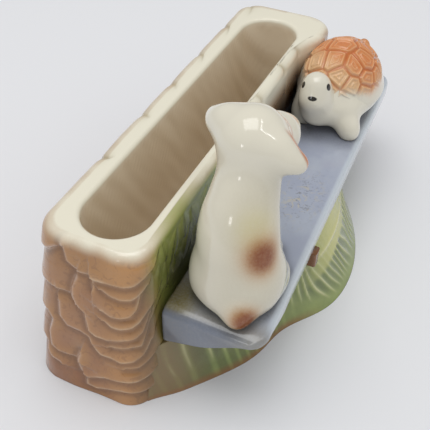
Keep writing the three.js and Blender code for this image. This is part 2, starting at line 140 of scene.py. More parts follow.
def dab(points, place, size):
    """A brush dab: 1 inside an ellipsoid of the given half sizes, 0 outside, with a soft edge."""
    return fall(np.linalg.norm((points - np.array(place)) / np.array(size), axis=-1), 0.85, 1.15)


def front_line(x):
    """The wall's front thins evenly towards the far end."""
    share = (x - WALL_NEAR_X) / (WALL_FAR_X - WALL_NEAR_X)
    return WALL_FRONT_NEAR_Y + share * (WALL_FRONT_FAR_Y - WALL_FRONT_NEAR_Y)


def wall_front(x):
    """The front line, with a pier of thicker stones standing forward at the far end."""
    return front_line(x) - PIER_DEPTH * ramp(x, PIER_X, PIER_X + PIER_BLEND)


# Ridge lines of the stones on the near end, as (run round the wall from the middle of the
# near end, height): the lower lip of the stone on the left-hand side of the line
NEAR_RIDGES = [
    [(-36, 60), (-28, 61), (-21, 59), (-16, 60.5), (-12, 63)],
    [(-10.6, 68), (-9.1, 63.4), (-7.8, 58.9), (-4.4, 56.4), (-0.5, 56.1), (3.4, 55.7), (9.8, 55.9),
     (15, 55.9), (18.4, 56.6), (21.4, 58.6), (24.5, 60.5)],
    [(2.2, 55.7), (2.4, 53.5), (2.6, 51.4)],
    [(-36, 45), (-28, 46.5), (-20, 45.5), (-16, 45.8), (-13.3, 45.3), (-9.5, 45.5), (-6.3, 44.5),
     (-4.7, 43.2)],
    [(-4.3, 53.5), (-5.7, 49), (-5.6, 45.5), (-4.4, 42.3), (-1.4, 39.4), (-0.4, 36.2), (1, 31.8),
     (4.2, 30.3), (8.7, 30.4), (14.2, 32.1), (19, 33.1), (22.2, 35.4), (25.5, 41)],
    [(6.8, 52.1), (9.8, 50.8), (13.4, 50.1), (17.7, 50.3), (20.3, 51.9), (23.1, 54.9)],
    [(7.3, 43.5), (10.3, 42.2), (14, 42.5), (17.5, 43.3), (19.9, 46), (21.6, 50.8), (23.5, 54.6)],
    [(7.5, 38.7), (10.3, 37.2), (14.1, 37.4), (18, 38.2), (20.6, 39.9), (24.1, 43.5), (28.1, 46.5)],
    [(10.3, 27.3), (14.2, 28), (18.2, 28.9), (21.5, 29.1), (23.4, 32.3), (26.2, 37.2), (31, 42)],
    [(-11.6, 39.7), (-11.1, 33.6), (-8, 29.9), (-2.8, 29.3), (0.9, 27.8), (3, 24.3), (5.6, 21.7),
     (9.9, 21.8), (13.9, 21.3), (18.5, 22.2), (22.6, 24.6), (26, 29)],
    [(15.8, 18.4), (20.4, 18.4), (23.8, 20), (28.5, 22.3), (36.6, 22.5)],
    [(-36, 31), (-28, 30), (-21, 32), (-17.1, 32.1), (-14.9, 29.9), (-16.2, 23.8), (-14.9, 17.5),
     (-11.9, 15.4), (-6.5, 14.7), (-4, 14.2)],
    [(-3, 18.5), (-4.6, 12.9), (-2.8, 8.6), (1.1, 7.8), (7.7, 10.9), (14, 11.9), (19.6, 11.9),
     (24.2, 12.6), (30, 13.7), (35.9, 16.7)],
    [(-36, 15), (-26, 16), (-20, 17.5), (-18.2, 16.7), (-17.7, 12.7), (-15.4, 10.3), (-12, 9.5)],
    [(-0.9, 6.3), (-0.4, 3.4), (3.8, 3), (14.1, 6.6), (21.7, 6), (27.6, 5.5), (36, 6)],
]
COURSE_LEVELS = (15.0, 30.5, 45.5, 60.0)
RIM_JOINT_RUNS = (-59.8, -89.3, -114.2, -140.0, -168.0, -193.0)
FRONT_JOINT_RUNS = (121.2, 147.0, 164.0)
COURSE_STAGGER = 13.5


def course_ridges(half_run):
    """Ridges on the back and the far end: four level courses that wander by about a
    millimetre, with S-shaped upright joints staggered from course to course."""
    run = np.linspace(-half_run - 40, -34, 34)
    ridges = []
    for course, level in enumerate(COURSE_LEVELS):
        sag = 1.3 * np.sin(run / 8.5 + 1.7 * course) + 0.8 * np.sin(run / 3.9 + course)
        ridges.append(np.stack([run, level + sag], -1))
    rise = np.linspace(1, 0, 5)
    edges = (0, *COURSE_LEVELS, RIM_HEIGHT + 1)
    for course, (low, high) in enumerate(zip(edges, edges[1:])):
        for joint in RIM_JOINT_RUNS:
            bow = 1.1 * np.sin(rise * 2 * math.pi + joint)
            upright_run = joint + COURSE_STAGGER * (course % 2) + bow
            ridges.append(np.stack([upright_run, low + (high - low) * rise], -1))
    rise = np.linspace(1, 0, 4)
    for joint in FRONT_JOINT_RUNS:
        ridges.append(np.stack([joint + np.sin(rise * 3), 47 + (RIM_HEIGHT - 46) * rise], -1))
    return ridges


def ledges(run, height, ridges):
    """Relief and paint masks of overlapping stones. For each ridge line, d is the signed
    distance to its nearest segment, positive on its left. The stone there swells to a lip,
    0.5 exp(-d / 5), and the stone below is cut back under it, exp(d / 3), with a tanh step of
    0.8 mm between. The pale mask is a bell on the lip; the dark one is painted shade, a bell
    just under the lip and a fall on the stone below it; the lip mask fades into the stone as
    exp(-d / 3.2)."""
    relief, pale, dark, lip = (np.zeros_like(run) for mask in range(4))
    flat = np.stack([run, height], -1)
    for ridge in ridges:
        line = np.asarray(ridge, float)
        near = ((flat > line.min(0) - 9) & (flat < line.max(0) + 9)).all(-1)
        if not near.any():
            continue
        spot = flat[near][:, None, :]
        start, step = line[:-1], line[1:] - line[:-1]
        share = ((spot - start) * step).sum(-1) / (step ** 2).sum(-1)
        gap = spot - start - np.clip(share, 0, 1)[..., None] * step
        away = np.sqrt((gap ** 2).sum(-1))
        best = away.argmin(-1)[:, None]
        side = step[:, 0] * (spot - start)[..., 1] - step[:, 1] * (spot - start)[..., 0]
        sign = np.where(np.take_along_axis(side, best, -1)[:, 0] < 0, -1.0, 1.0)
        d = np.take_along_axis(away, best, -1)[:, 0]
        swell, cut = 0.5 * np.exp(-d / 5), np.exp(-d / 3)
        relief[near] += 0.5 * (swell - cut) + 0.5 * (swell + cut) * np.tanh(sign * d / 0.8)
        pale[near] = np.maximum(pale[near], bell(sign * d - 0.45, 0.8))
        # dark: painted shade under the lip, on the stone cut back below it
        under = np.maximum(bell(sign * d + 1.3, 1.6), 0.7 * np.exp(-d / 3.5) * (sign < 0))
        dark[near] = np.maximum(dark[near], under)
        lip[near] = np.maximum(lip[near], np.exp(-d / 3.2) * (sign > 0))
    return relief, pale, dark, lip


def nicks(run):
    """How near each run is to a joint in the rim: a shallow exp(-d / 3.5) hollow and a sharp
    exp(-d / 0.9) cut at each joint."""
    joints = np.array(RIM_JOINT_RUNS + FRONT_JOINT_RUNS)
    d = np.abs(run[..., None] - joints).min(-1)
    return 0.4 * np.exp(-d / 3.5) + 0.6 * np.exp(-d / 0.9)


# Ivy leaves on the wall behind the dog: run, height, lie in degrees, length, half width
IVY_LEAVES = [
    (27, 60, 60, 13, 4.2), (30, 52, 75, 13, 4.4), (34, 61, 110, 12, 4.0), (36, 50, 95, 13, 4.6),
    (41, 57, 70, 14, 4.6), (44, 49, 120, 12, 4.2), (49, 60, 100, 13, 4.4), (52, 51, 75, 14, 4.6),
    (57, 58, 118, 13, 4.4), (60, 49, 90, 12, 4.4), (66, 57, 70, 14, 4.8), (70, 49, 108, 12, 4.2),
    (75, 58, 95, 13, 4.6), (81, 51, 70, 12, 4.2), (86, 58, 112, 13, 4.2),
]


def ivy(run, height):
    """Raised leaves: each is a pointed oval whose half width is sin of the share along it,
    domed across, with a groove down its midrib. Returns relief, leaf edge and midrib masks."""
    relief, edge, rib = np.zeros_like(run), np.zeros_like(run), np.zeros_like(run)
    for leaf_run, leaf_height, lie, length, half_width in IVY_LEAVES:
        turn = math.radians(lie)
        along = (run - leaf_run) * math.cos(turn) + (height - leaf_height) * math.sin(turn)
        across = (height - leaf_height) * math.cos(turn) - (run - leaf_run) * math.sin(turn)
        share = np.clip(along / length + 0.5, 0, 1)
        width = half_width * np.sin(math.pi * share ** 0.8) + 1e-3
        inside = 1 - np.abs(across) / width
        dome = np.clip(inside, 0, 1) ** 0.8 * (width > 0.3)
        taller = dome * 0.9 > relief
        relief = np.maximum(relief, 0.9 * dome)
        edge = np.where(taller, bell(inside, 0.22) * (width > 0.6), edge)
        rib = np.where(taller, bell(across, 0.45), rib)
    return relief - 0.35 * rib * (relief > 0), edge, rib


def end_outline(share, tip, side, way, straight, radius):
    """Points round one end of a rectangle with round corners, share 0 to 1 of its run: a
    quarter turn, the straight and a quarter turn, from one side to the other. way is 1 at the
    near end, where it runs from the back to the front, and -1 at the far end."""
    arc = math.pi * radius / 2
    run = share * (2 * arc + straight)
    first = np.clip(run / radius, 0, math.pi / 2)
    last = np.clip((run - arc - straight) / radius, 0, math.pi / 2)
    travel = np.clip(run - arc, 0, straight)
    depth = radius * (1 - np.sin(first)) + radius * (1 - np.cos(last))
    sideways = radius * (1 - np.cos(first)) + travel + radius * np.sin(last)
    return tip + way * depth, side - way * sideways


def wall_ring(z, inset):
    """Level rings of the wall's outside: the near end, the front, the far end and the back
    of a round-cornered rectangle that spreads towards the foot, the front drawn to its line."""
    spread = 1 - z / RIM_HEIGHT
    near = WALL_NEAR_X - FOOT_NEAR * spread + inset
    far = WALL_FAR_X + FOOT_FAR * spread - inset
    back = WALL_BACK_Y + FOOT_BACK * spread - inset
    front = WALL_FRONT_NEAR_Y + inset
    radius = CORNER_RADIUS - inset
    at_near, at_front, at_far, at_back = (np.arange(count)[None, :] / count for count in WALL_COLUMNS)
    width, length = back - front - 2 * radius, far - near - 2 * radius
    sides = [
        end_outline(at_near, near, back, 1, width, radius),
        (near + radius + length * at_front, front + 0 * at_front),
        end_outline(at_far, far, front, -1, width, radius),
        (far - radius - length * at_back, back + 0 * at_back),
    ]
    x, y = (np.concatenate(parts, 1) for parts in zip(*sides))
    return x, np.where(y < 0, y * (wall_front(x) + inset) / front, y)


def mouth_ring(outset):
    """Rings of the round-ended mouth, in step with the rings of the outside: half a circle at
    each end and a straight along each side."""
    half, straight = MOUTH_WIDTH / 2 + outset, (MOUTH_LENGTH - MOUTH_WIDTH) / 2
    near, front, far, back = (np.arange(count)[None, :] / count for count in WALL_COLUMNS)
    x = np.concatenate([
        -straight - half * np.sin(math.pi * near), straight * (2 * front - 1) + 0 * half,
        straight + half * np.sin(math.pi * far), -straight * (2 * back - 1) + 0 * half,
    ], 1)
    y = np.concatenate([
        half * np.cos(math.pi * near), -half + 0 * front,
        -half * np.cos(math.pi * far), half + 0 * back,
    ], 1)
    return x, y


def wall_runs():
    """Run of every column round the outside at mid height, 0 in the middle of the near end."""
    x, y = wall_ring(np.array([[RIM_HEIGHT / 2]]), np.array([[0.0]]))
    gaps = np.hypot(np.diff(x[0], append=x[0, :1]), np.diff(y[0], append=y[0, :1]))
    run = np.concatenate([[0], np.cumsum(gaps)[:-1]])
    run = run - run[WALL_COLUMNS[0] // 2]
    return np.where(run > gaps.sum() / 2, run - gaps.sum(), run), gaps.sum() / 2


def ring_faces(rows, count):
    """Quads between neighbouring rows whose columns close on themselves."""
    low = np.arange(rows - 1)[:, None] * count
    here, after = np.arange(count)[None, :], (np.arange(count)[None, :] + 1) % count
    quads = np.stack([low + here, low + after, low + count + after, low + count + here], -1)
    return quads.reshape(-1, 4).tolist()


def make_piece(name, points, material, nodes, masks=None, normals=None, apex=None):
    """Skins rows of points (rows, columns, xyz in mm) as a closed piece: the first row is
    closed by a flat face, the last by a flat face or by triangles to an apex."""
    rows, count, _ = points.shape
    spots = points.reshape(-1, 3)
    faces = ring_faces(rows, count)
    faces.append(list(range(count))[::-1])
    last = (rows - 1) * count
    if apex is None:
        faces.append(list(range(last, last + count)))
    else:
        spots = np.vstack([spots, apex])
        turn = np.arange(count)
        tips = np.full(count, rows * count)
        faces += np.stack([last + turn, last + (turn + 1) % count, tips], -1).tolist()
    mesh = bpy.data.meshes.new(name)
    mesh.from_pydata(((spots + SHIFT) * MM).tolist(), [], faces)
    mesh.shade_smooth()
    for mask, values in (masks or {}).items():
        values = np.broadcast_to(values, (rows, count)).ravel()
        if apex is not None:
            values = np.append(values, values[-count:].mean())
        mesh.attributes.new(mask, "FLOAT", "POINT").data.foreach_set("value", values.astype(np.float32))
    if normals is not None:
        mesh.normals_split_custom_set_from_vertices(normals.reshape(-1, 3).tolist())
    mesh.validate()
    piece = bpy.data.objects.new(name, mesh)
    bpy.context.scene.collection.objects.link(piece)
    mesh.materials.append(material)
    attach(piece, "root")
    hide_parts(*nodes)


def pressed(first, second, fillet):
    """The smaller of two distances, with the crease between them filled by a polynomial fillet."""
    mix = np.clip(0.5 + (first - second) / (2 * fillet), 0, 1)
    return first + (second - first) * mix - fillet * mix * (1 - mix)


def clay_distance(forms, fillet, points):
    """Distance to ellipsoids pressed together, each (x, y, z, and its three radii)."""
    nearest = np.full(points.shape[:-1], 1000.0)
    for form in forms:
        radii = np.asarray(form[3:6])
        unit = (points - np.asarray(form[:3])) / radii
        length = np.sqrt((unit ** 2).sum(-1))
        steep = np.sqrt(((unit / radii) ** 2).sum(-1)) + 1e-9
        nearest = pressed(nearest, length * (length - 1) / steep, fillet)
    return nearest


def slope(distance, points):
    """Unit gradient of a distance field by central differences of 0.05 mm."""
    steps = np.eye(3) * 0.05
    gradient = np.stack([distance(points + s) - distance(points - s) for s in steps], -1)
    return gradient / (np.linalg.norm(gradient, axis=-1, keepdims=True) + 1e-9)


def clay_skin(distance, axis, low, high, rows, columns, widest=45, dome=True):
    """The outermost skin of a distance field: on each level, rays run in from far out to an
    upright axis and step by the distance until they meet the clay. Rows crowd towards the
    top of a dome. Returns the points and the unit slope of the distance there."""
    share = np.sin(math.pi / 2 * np.arange(rows) / rows) if dome else np.linspace(0, 1, rows)
    z = (low + (high - low) * share)[:, None]
    turn = 2 * math.pi * np.arange(columns)[None, :] / columns
    centre_x, centre_y = axis(z)
    radius = np.full((rows, columns), float(widest))
    spot = lambda: np.stack([
        centre_x + radius * np.cos(turn), centre_y + radius * np.sin(turn), z + 0 * radius,
    ], -1)
    for step in range(90):
        radius = np.clip(radius - 0.7 * distance(spot()), 0.25, widest)
    points = spot()
    return points, slope(distance, points)


def crown_of(distance, axis, inside):
    """The point where an upright axis leaves the clay, by halving up from a level inside it."""
    spot = lambda z: np.array([[*axis(z), z]])
    low, high = inside, inside + 40
    for step in range(40):
        middle = (low + high) / 2
        in_clay = distance(spot(middle)).item() < 0
        low, high = (middle, high) if in_clay else (low, middle)
    return spot(low)


def domed_skin(distance, axis, low, inside, rows, columns, widest=45):
    """The skin from the level low up to the crown above the level inside. Returns its
    points, its normals with the crown's last, and the crown."""
    crown = crown_of(distance, axis, inside)
    points, normals = clay_skin(distance, axis, low, crown[0, 2], rows, columns, widest)
    return points, np.vstack([normals.reshape(-1, 3), slope(distance, crown)]), crown


def seated(seat, forms):
    """Forms given about a figure's seat, moved on to the bench."""
    return [(*(seat + form[:3]), *form[3:]) for form in forms]


DOG_X, DOG_FROM_WALL, DOG_NECK = -57.0, 19.2, 39.0
DOG_SEAT = np.array([DOG_X, front_line(DOG_X) - DOG_FROM_WALL, BENCH_TOP])
HEAD_MIDDLE = np.array([16.0, 2.5, 52.8])
HEAD_YAW, HEAD_ROLL = math.radians(-15), math.radians(6)
HEAD_FORWARD = np.array([math.cos(HEAD_YAW), math.sin(HEAD_YAW), 0.0])
HEAD_LEFT = np.array([
    -math.sin(HEAD_YAW) * math.cos(HEAD_ROLL), math.cos(HEAD_YAW) * math.cos(HEAD_ROLL), math.sin(HEAD_ROLL)])
HEAD_UP = np.cross(HEAD_FORWARD, HEAD_LEFT)
DOG_EAR_FRONT = 4.6
DOG_TRUNK_FILLET, DOG_HEAD_FILLET, DOG_EAR_FILLET = 6.0, 4.0, 3.5


def head_form(forward, left, up, *radii):
    """A form given forward, left and up from the middle of the dog's turned, tilted head."""
    place = HEAD_MIDDLE + forward * HEAD_FORWARD + left * HEAD_LEFT + up * HEAD_UP
    return (*place, *radii)


# Clay forms of the figures: place from the seat, then the three radii
DOG_TRUNK = seated(DOG_SEAT, [
    (-0.5, -0.3, 7.5, 13.2, 14, 11.5),
    (1, -0.3, 18, 12.4, 13.6, 13),
    (3.5, 0.9, 28, 11.3, 12.8, 12),
    (7.5, 1.1, 36, 10, 10.3, 11),
    (12, 1.3, 42, 8.8, 9, 9),
    (3, 8.8, 9, 10.5, 6, 10), (3, -9, 9, 10.5, 6, 10),
    (19, 4.5, 12, 4.5, 4.2, 14), (19, -3.5, 12, 4.5, 4.2, 14),
    (23, 4.5, 2.5, 5, 4, 4), (23, -3.5, 2.5, 5, 4, 4),
    (12, 11, 2.5, 7, 4, 3.5), (11, -10.5, 2.5, 7, 4, 3.5),
    (-11, -6, 3, 4, 3.6, 4),
])
DOG_SKULL = seated(DOG_SEAT, [head_form(0, 0, 0, 11.5, 11.5, 10.8)])
DOG_MUZZLE = seated(DOG_SEAT, [
    head_form(11.5, -0.5, -5, 9.5, 8.2, 7), head_form(19.5, -0.5, -5.5, 2.2, 2.8, 2.2)])
DOG_EARS = seated(DOG_SEAT, [
    head_form(forward, side * left, *rest) for side in (1, -1) for forward, left, *rest in (
        (-0.5, 9.5, 1, 5.5, 6, 6), (0.5, 13.6, -0.4, 4.2, 4, 3.5), (2.4, 16.6, -1.4, 2.6, 2, 2))])


def dog_distance(points):
    """Distance to the whole dog: trunk, skull and muzzle, and ears whose front is cut square."""
    trunk = clay_distance(DOG_TRUNK, DOG_TRUNK_FILLET, points)
    head = clay_distance(DOG_SKULL + DOG_MUZZLE, DOG_HEAD_FILLET, points)
    ahead = (points - DOG_SEAT - HEAD_MIDDLE) @ HEAD_FORWARD
    ears = np.maximum(clay_distance(DOG_EARS, DOG_EAR_FILLET, points), ahead - DOG_EAR_FRONT)
    return pressed(pressed(head, ears, DOG_HEAD_FILLET), trunk, DOG_TRUNK_FILLET)


def dog_axis(z):
    """The upright axis leans from the seat to the middle of the head by a smooth step."""
    lean = ramp(z - BENCH_TOP, 0, HEAD_MIDDLE[2])
    return DOG_SEAT[0] + HEAD_MIDDLE[0] * lean, DOG_SEAT[1] + HEAD_MIDDLE[1] * lean


TORTOISE_X, TORTOISE_FROM_WALL, SHELL_EDGE = 66.0, 16.5, 8.5
TORTOISE_SEAT = np.array([TORTOISE_X, front_line(TORTOISE_X) - TORTOISE_FROM_WALL, BENCH_TOP])
SHELL = seated(TORTOISE_SEAT, [(0.2, 0, 11.5, 22, 17.5, 18.3), (1.6, 0, 10, 21.4, 18.3, 5)])
TORTOISE_TRUNK = seated(TORTOISE_SEAT, [
    (0, 0, 8.5, 21.5, 16.2, 7),
    (-16.5, 1, 9, 9, 9.5, 7),
    (-21.5, 3.6, 11.5, 6.2, 6.4, 8.5),
    (-16.5, -8, 7, 5.5, 5.5, 6.5), (-21.4, -12, 3, 4.3, 4.4, 5),
    (-15, 8.5, 7, 5.5, 5.2, 6.5), (-17.5, 10.5, 3, 4.2, 4.2, 5),
    (17, -8.5, 6.5, 5, 5, 6), (20, -10.8, 3, 4.4, 4.2, 5),
    (17, 9, 6.5, 5, 5, 6), (19.5, 11.2, 3, 4.4, 4.2, 5),
])
TORTOISE_HEAD = seated(TORTOISE_SEAT, [
    (-22.3, 4, 19.3, 6.6, 6.4, 7.5), (-25.6, 3.8, 16.3, 4.8, 5.4, 4.5)])
TORTOISE_TAIL = seated(TORTOISE_SEAT, [(24, -1.5, 6, 6, 3.4, 3.4), (26, -2.2, 14.5, 2.8, 3.2, 5.2)])
# Fillets between the tortoise's forms, and how deep the shell is bedded in the trunk
SHELL_FILLET, TRUNK_FILLET, NECK_FILLET = 3.0, 5.0, 4.5
SHELL_BED = 1.0


def shell_distance(points):
    """Distance to the tortoise's domed shell."""
    return clay_distance(SHELL, SHELL_FILLET, points)


def trunk_distance(points):
    """Distance to the tortoise's trunk and legs."""
    return clay_distance(TORTOISE_TRUNK, TRUNK_FILLET, points)


def skirt_distance(points):
    """Distance to the trunk and legs, with a fillet that runs up on to the bed of the shell."""
    return pressed(shell_distance(points) + SHELL_BED, trunk_distance(points), TRUNK_FILLET)


def face_distance(points):
    """Distance to the trunk and legs with the raised head."""
    head = clay_distance(TORTOISE_HEAD, SHELL_FILLET, points)
    return pressed(trunk_distance(points), head, NECK_FILLET)


def tail_distance(points):
    """Distance to the tortoise's tail."""
    return clay_distance(TORTOISE_TAIL, SHELL_FILLET, points)


def upright(x, y):
    """An upright axis that doesn't lean."""
    return lambda z: (x + 0 * z, y + 0 * z)


def measure(name, description, default, low, high):
    """A length property, in metres."""
    return bpy.props.FloatProperty(
        name=name, description=description, default=default, min=low, max=high, unit="LENGTH", precision=4)


class VaseSizes(bpy.types.PropertyGroup):
    """Sizes of the modelled relief"""
    stone_relief: measure("Stone relief", "Depth of the ledges between the stones", 0.0015, 0.0, 0.003)
    leaf_relief: measure("Leaf relief", "Height of the ivy and the grass blades", 0.001, 0.0, 0.003)
    scute_relief: measure("Scute relief", "Height of the outlines on the shell", 0.0006, 0.0, 0.002)
    rim_rounding: measure("Rim rounding", "Radius of the rim's outer edge", 0.003, 0.001, 0.006)
    seat_rounding: measure("Seat rounding", "Radius of the bench's edges", 0.0022, 0.0005, 0.003)


def colour(name, description, hex_colour):
    """A colour property whose default is written in sRGB hex."""
    return bpy.props.FloatVectorProperty(
        name=name, description=description, subtype="COLOR", size=4, min=0.0, max=1.0,
        default=linear(hex_colour))


class VaseColours(bpy.types.PropertyGroup):
    """Colours of the underglaze paints"""
    rim_cream: colour("Rim cream", "Bare cream clay on the rim", "#E6E1CE")
    trough_taupe: colour("Trough taupe", "Thin brown wash inside the trough", "#E6D8C0")
    trough_streak: colour("Trough streak", "Darker streaks inside the trough", "#BEA684")
    stone_brown: colour("Stone brown", "Airbrushed brown of the stones", "#A07654")
    stone_red: colour("Stone red", "Redder brown towards the foot", "#8E5E3E")
    stone_ochre: colour("Stone ochre", "Yellower brown under the rim", "#A47742")
    ridge_pale: colour("Worn ridge", "Pale clay on the worn ridges", "#D6B893")
    ridge_cool: colour("Cool ridge", "Grey-violet on the upright ridges", "#BAA69E")
    stone_lip: colour("Stone lip", "Paler brown on the lower lip of each stone", "#C8955F")
    # Painted shade under the stones' lips, also used for grit specks on the stones
    lip_shade_and_grit: colour("Joint", "Colour gathered in the joints", "#77553D")
    nick_olive: colour("Nick", "Olive-brown in the nicks of the rim", "#9A8A62")
    leaf_green: colour("Ivy green", "Yellow-green of the ivy", "#93A34E")
    leaf_dark: colour("Ivy shade", "Dark green-grey low on the wall", "#3A3A1E")
    # Painted shade behind the tortoise
    smoke: colour("Shaded brown", "Dark brown behind the tortoise", "#1C120B")
    bench_blue: colour("Bench blue", "Blue-grey of the seat", "#A2A9BB")
    bench_edge: colour("Bench edge", "Paler colour on the seat's front edge", "#C6CED4")
    bench_olive: colour("Bench olive", "Olive tint of the seat beside the wall", "#766B3E")
    bench_face: colour("Bench end", "Darker blue-grey on the seat's near end", "#6C7484")
    bench_scuff: colour("Bench scuff", "Pale scuffs on the seat", "#B9B4A8")
    bench_mark: colour("Bench mark", "Grey-brown marks among the scuffs", "#6E6A62")
    # Painted shadow cast on the seat by the figures and the wall
    bench_shadow: colour("Bench smoke", "Dark grey sprayed by the figures", "#3E3D3C")
    bank_green: colour("Bank green", "Green of the grassy bank", "#8A9756")
    bank_shade: colour("Bank shade", "Grey-green between the blades", "#5A6739")
    bank_cream: colour("Blade edge", "Cream edges of the blades", "#D8D4A4")
    bank_yellow: colour("Bank leaf", "Yellow-green leaf under the seat's edge", "#C6C26C")
    bank_olive: colour("Bank olive", "Olive-brown by the stones", "#776A49")
    bank_brown: colour("Bank brown", "Brown along the foot of the bank", "#8A5A34")
    post_brown: colour("Post brown", "Brown of the bench's post", "#7C512F")
    dog_cream: colour("Dog cream", "Cream of the dog", "#DDD8C7")
    dog_yellow: colour("Dog yellow", "Faint yellow tint on the dog's back", "#CDC391")
    dog_brown: colour("Dog brown", "Airbrushed patches on the dog", "#7E3C06")
    # Painted shade on the dog below the head
    dog_shade: colour("Dog grey", "Warm grey down the dog's back", "#BFB8A2")
    dog_tan: colour("Dog tan", "Orange-tan fringe of the patches", "#C08A42")
    # Painted contact shade where a figure meets the seat
    contact: colour("Contact", "Dark line where a figure meets the seat", "#4A3F36")
    ear_orange: colour("Ear orange", "Orange-brown on the ear's front edge", "#B2641C")
    shell_orange: colour("Shell orange", "Orange of the shell", "#D07C42")
    shell_groove: colour("Shell groove", "Deeper orange between the scutes", "#B8622C")
    shell_tan: colour("Shell tan", "Tan towards the shell's edge", "#D9AC7A")
    shell_ridge: colour("Scute outline", "Pale raised outlines of the scutes", "#E6BB8A")
    tortoise_cream: colour("Tortoise cream", "Cream of the tortoise's skin", "#DDD8C8")
    face_black: colour("Face black", "Black of the eyes and the mouth", "#1C1A19")
    floor_grey: colour("Floor grey", "Pale studio floor", "#E3E4E7")


def add_node(tree, kind, inputs=None, **settings):
    """Adds a node, sets its settings, and gives each named input a value or a link."""
    made = tree.nodes.new(kind)
    for key, value in settings.items():
        setattr(made, key, value)
    for key, value in (inputs or {}).items():
        if isinstance(value, bpy.types.NodeSocket):
            tree.links.new(value, made.inputs[key])
        else:
            made.inputs[key].default_value = value
    return made


# Sockets of the colour mix node
MIX_A, MIX_B, MIX_OUT = 6, 7, 2
# Airbrush spatter, drawn coarser than its real 0.2 mm so that it shows, and the glaze's peel
GRAIN_MM, PEEL_MM = 0.8, 2.5


def glazed(name, base, layers, mottle, roughness=0.16, bump_mm=0.02, coat=0.5):
    """Glazed earthenware: a base colour, airbrushed layers laid over it by their masks, a
    cloudy mottle of the given colour, and a clear glaze with a faint orange peel.
    layers are (mask attribute, colour, strength) and may end with a size in mm, which breaks the
    layer into scuffs of about that size; mottle is (colour, size in mm, strength)."""
    material = bpy.data.materials.new(name)
    material.use_nodes = True
    tree = material.node_tree
    shader = tree.nodes["Principled BSDF"]
    place = add_node(tree, "ShaderNodeTexCoord").outputs["Object"]
    mottle_colour, mottle_mm, mottle_strength = mottle
    cloud = add_node(tree, "ShaderNodeTexNoise", {
        "Vector": place, "Scale": 1 / (mottle_mm * MM), "Detail": 4.0, "Roughness": 0.6})
    amount = add_node(tree, "ShaderNodeMapRange", {
        "Value": cloud.outputs["Fac"], "From Min": 0.4, "From Max": 0.75, "To Max": mottle_strength})
    paint = add_node(tree, "ShaderNodeMix", {
        0: amount.outputs[0], MIX_A: tuple(base), MIX_B: tuple(mottle_colour)}, data_type="RGBA")
    grain = add_node(tree, "ShaderNodeTexNoise", {
        "Vector": place, "Scale": 1 / (GRAIN_MM * MM), "Detail": 2.0})
    for mask, layer_colour, strength, *scuff_mm in layers:
        painted = add_node(tree, "ShaderNodeAttribute", attribute_name=mask)
        if scuff_mm:
            scrape = add_node(tree, "ShaderNodeTexNoise", {
                "Vector": place, "Scale": 1 / (scuff_mm[0] * MM), "Detail": 3.0, "Distortion": 1.5})
            spatter = add_node(tree, "ShaderNodeMapRange", {
                "Value": scrape.outputs["Fac"], "From Min": 0.56, "From Max": 0.64, "To Max": strength})
        else:
            spatter = add_node(tree, "ShaderNodeMapRange", {
                "Value": grain.outputs["Fac"], "From Min": 0.25, "From Max": 0.75,
                "To Min": strength * (0.86 if strength < 1 else 1), "To Max": strength * 1.08})
        weight = add_node(tree, "ShaderNodeMath", {
            0: painted.outputs["Fac"], 1: spatter.outputs[0]}, operation="MULTIPLY", use_clamp=True)
        paint = add_node(tree, "ShaderNodeMix", {
            0: weight.outputs[0], MIX_A: paint.outputs[MIX_OUT], MIX_B: tuple(layer_colour)},
            data_type="RGBA")
    tree.links.new(paint.outputs[MIX_OUT], shader.inputs["Base Color"])
    peel = add_node(tree, "ShaderNodeTexNoise", {
        "Vector": place, "Scale": 1 / (PEEL_MM * MM), "Detail": 2.0})
    bump = add_node(tree, "ShaderNodeBump", {
        "Height": peel.outputs["Fac"], "Strength": 0.25, "Distance": bump_mm * MM})
    tree.links.new(bump.outputs["Normal"], shader.inputs["Normal"])
    shader.inputs["Roughness"].default_value = roughness
    shader.inputs["IOR"].default_value = 1.52
    shader.inputs["Coat Weight"].default_value = coat
    shader.inputs["Coat Roughness"].default_value = 0.06
    return material


# Room for the stones to swell inside the solid, and the rounding of the lip and the floor
WALL_INSET, MOUTH_ROLL, FLOOR_ROLL = 0.9, 1.6, 4.0


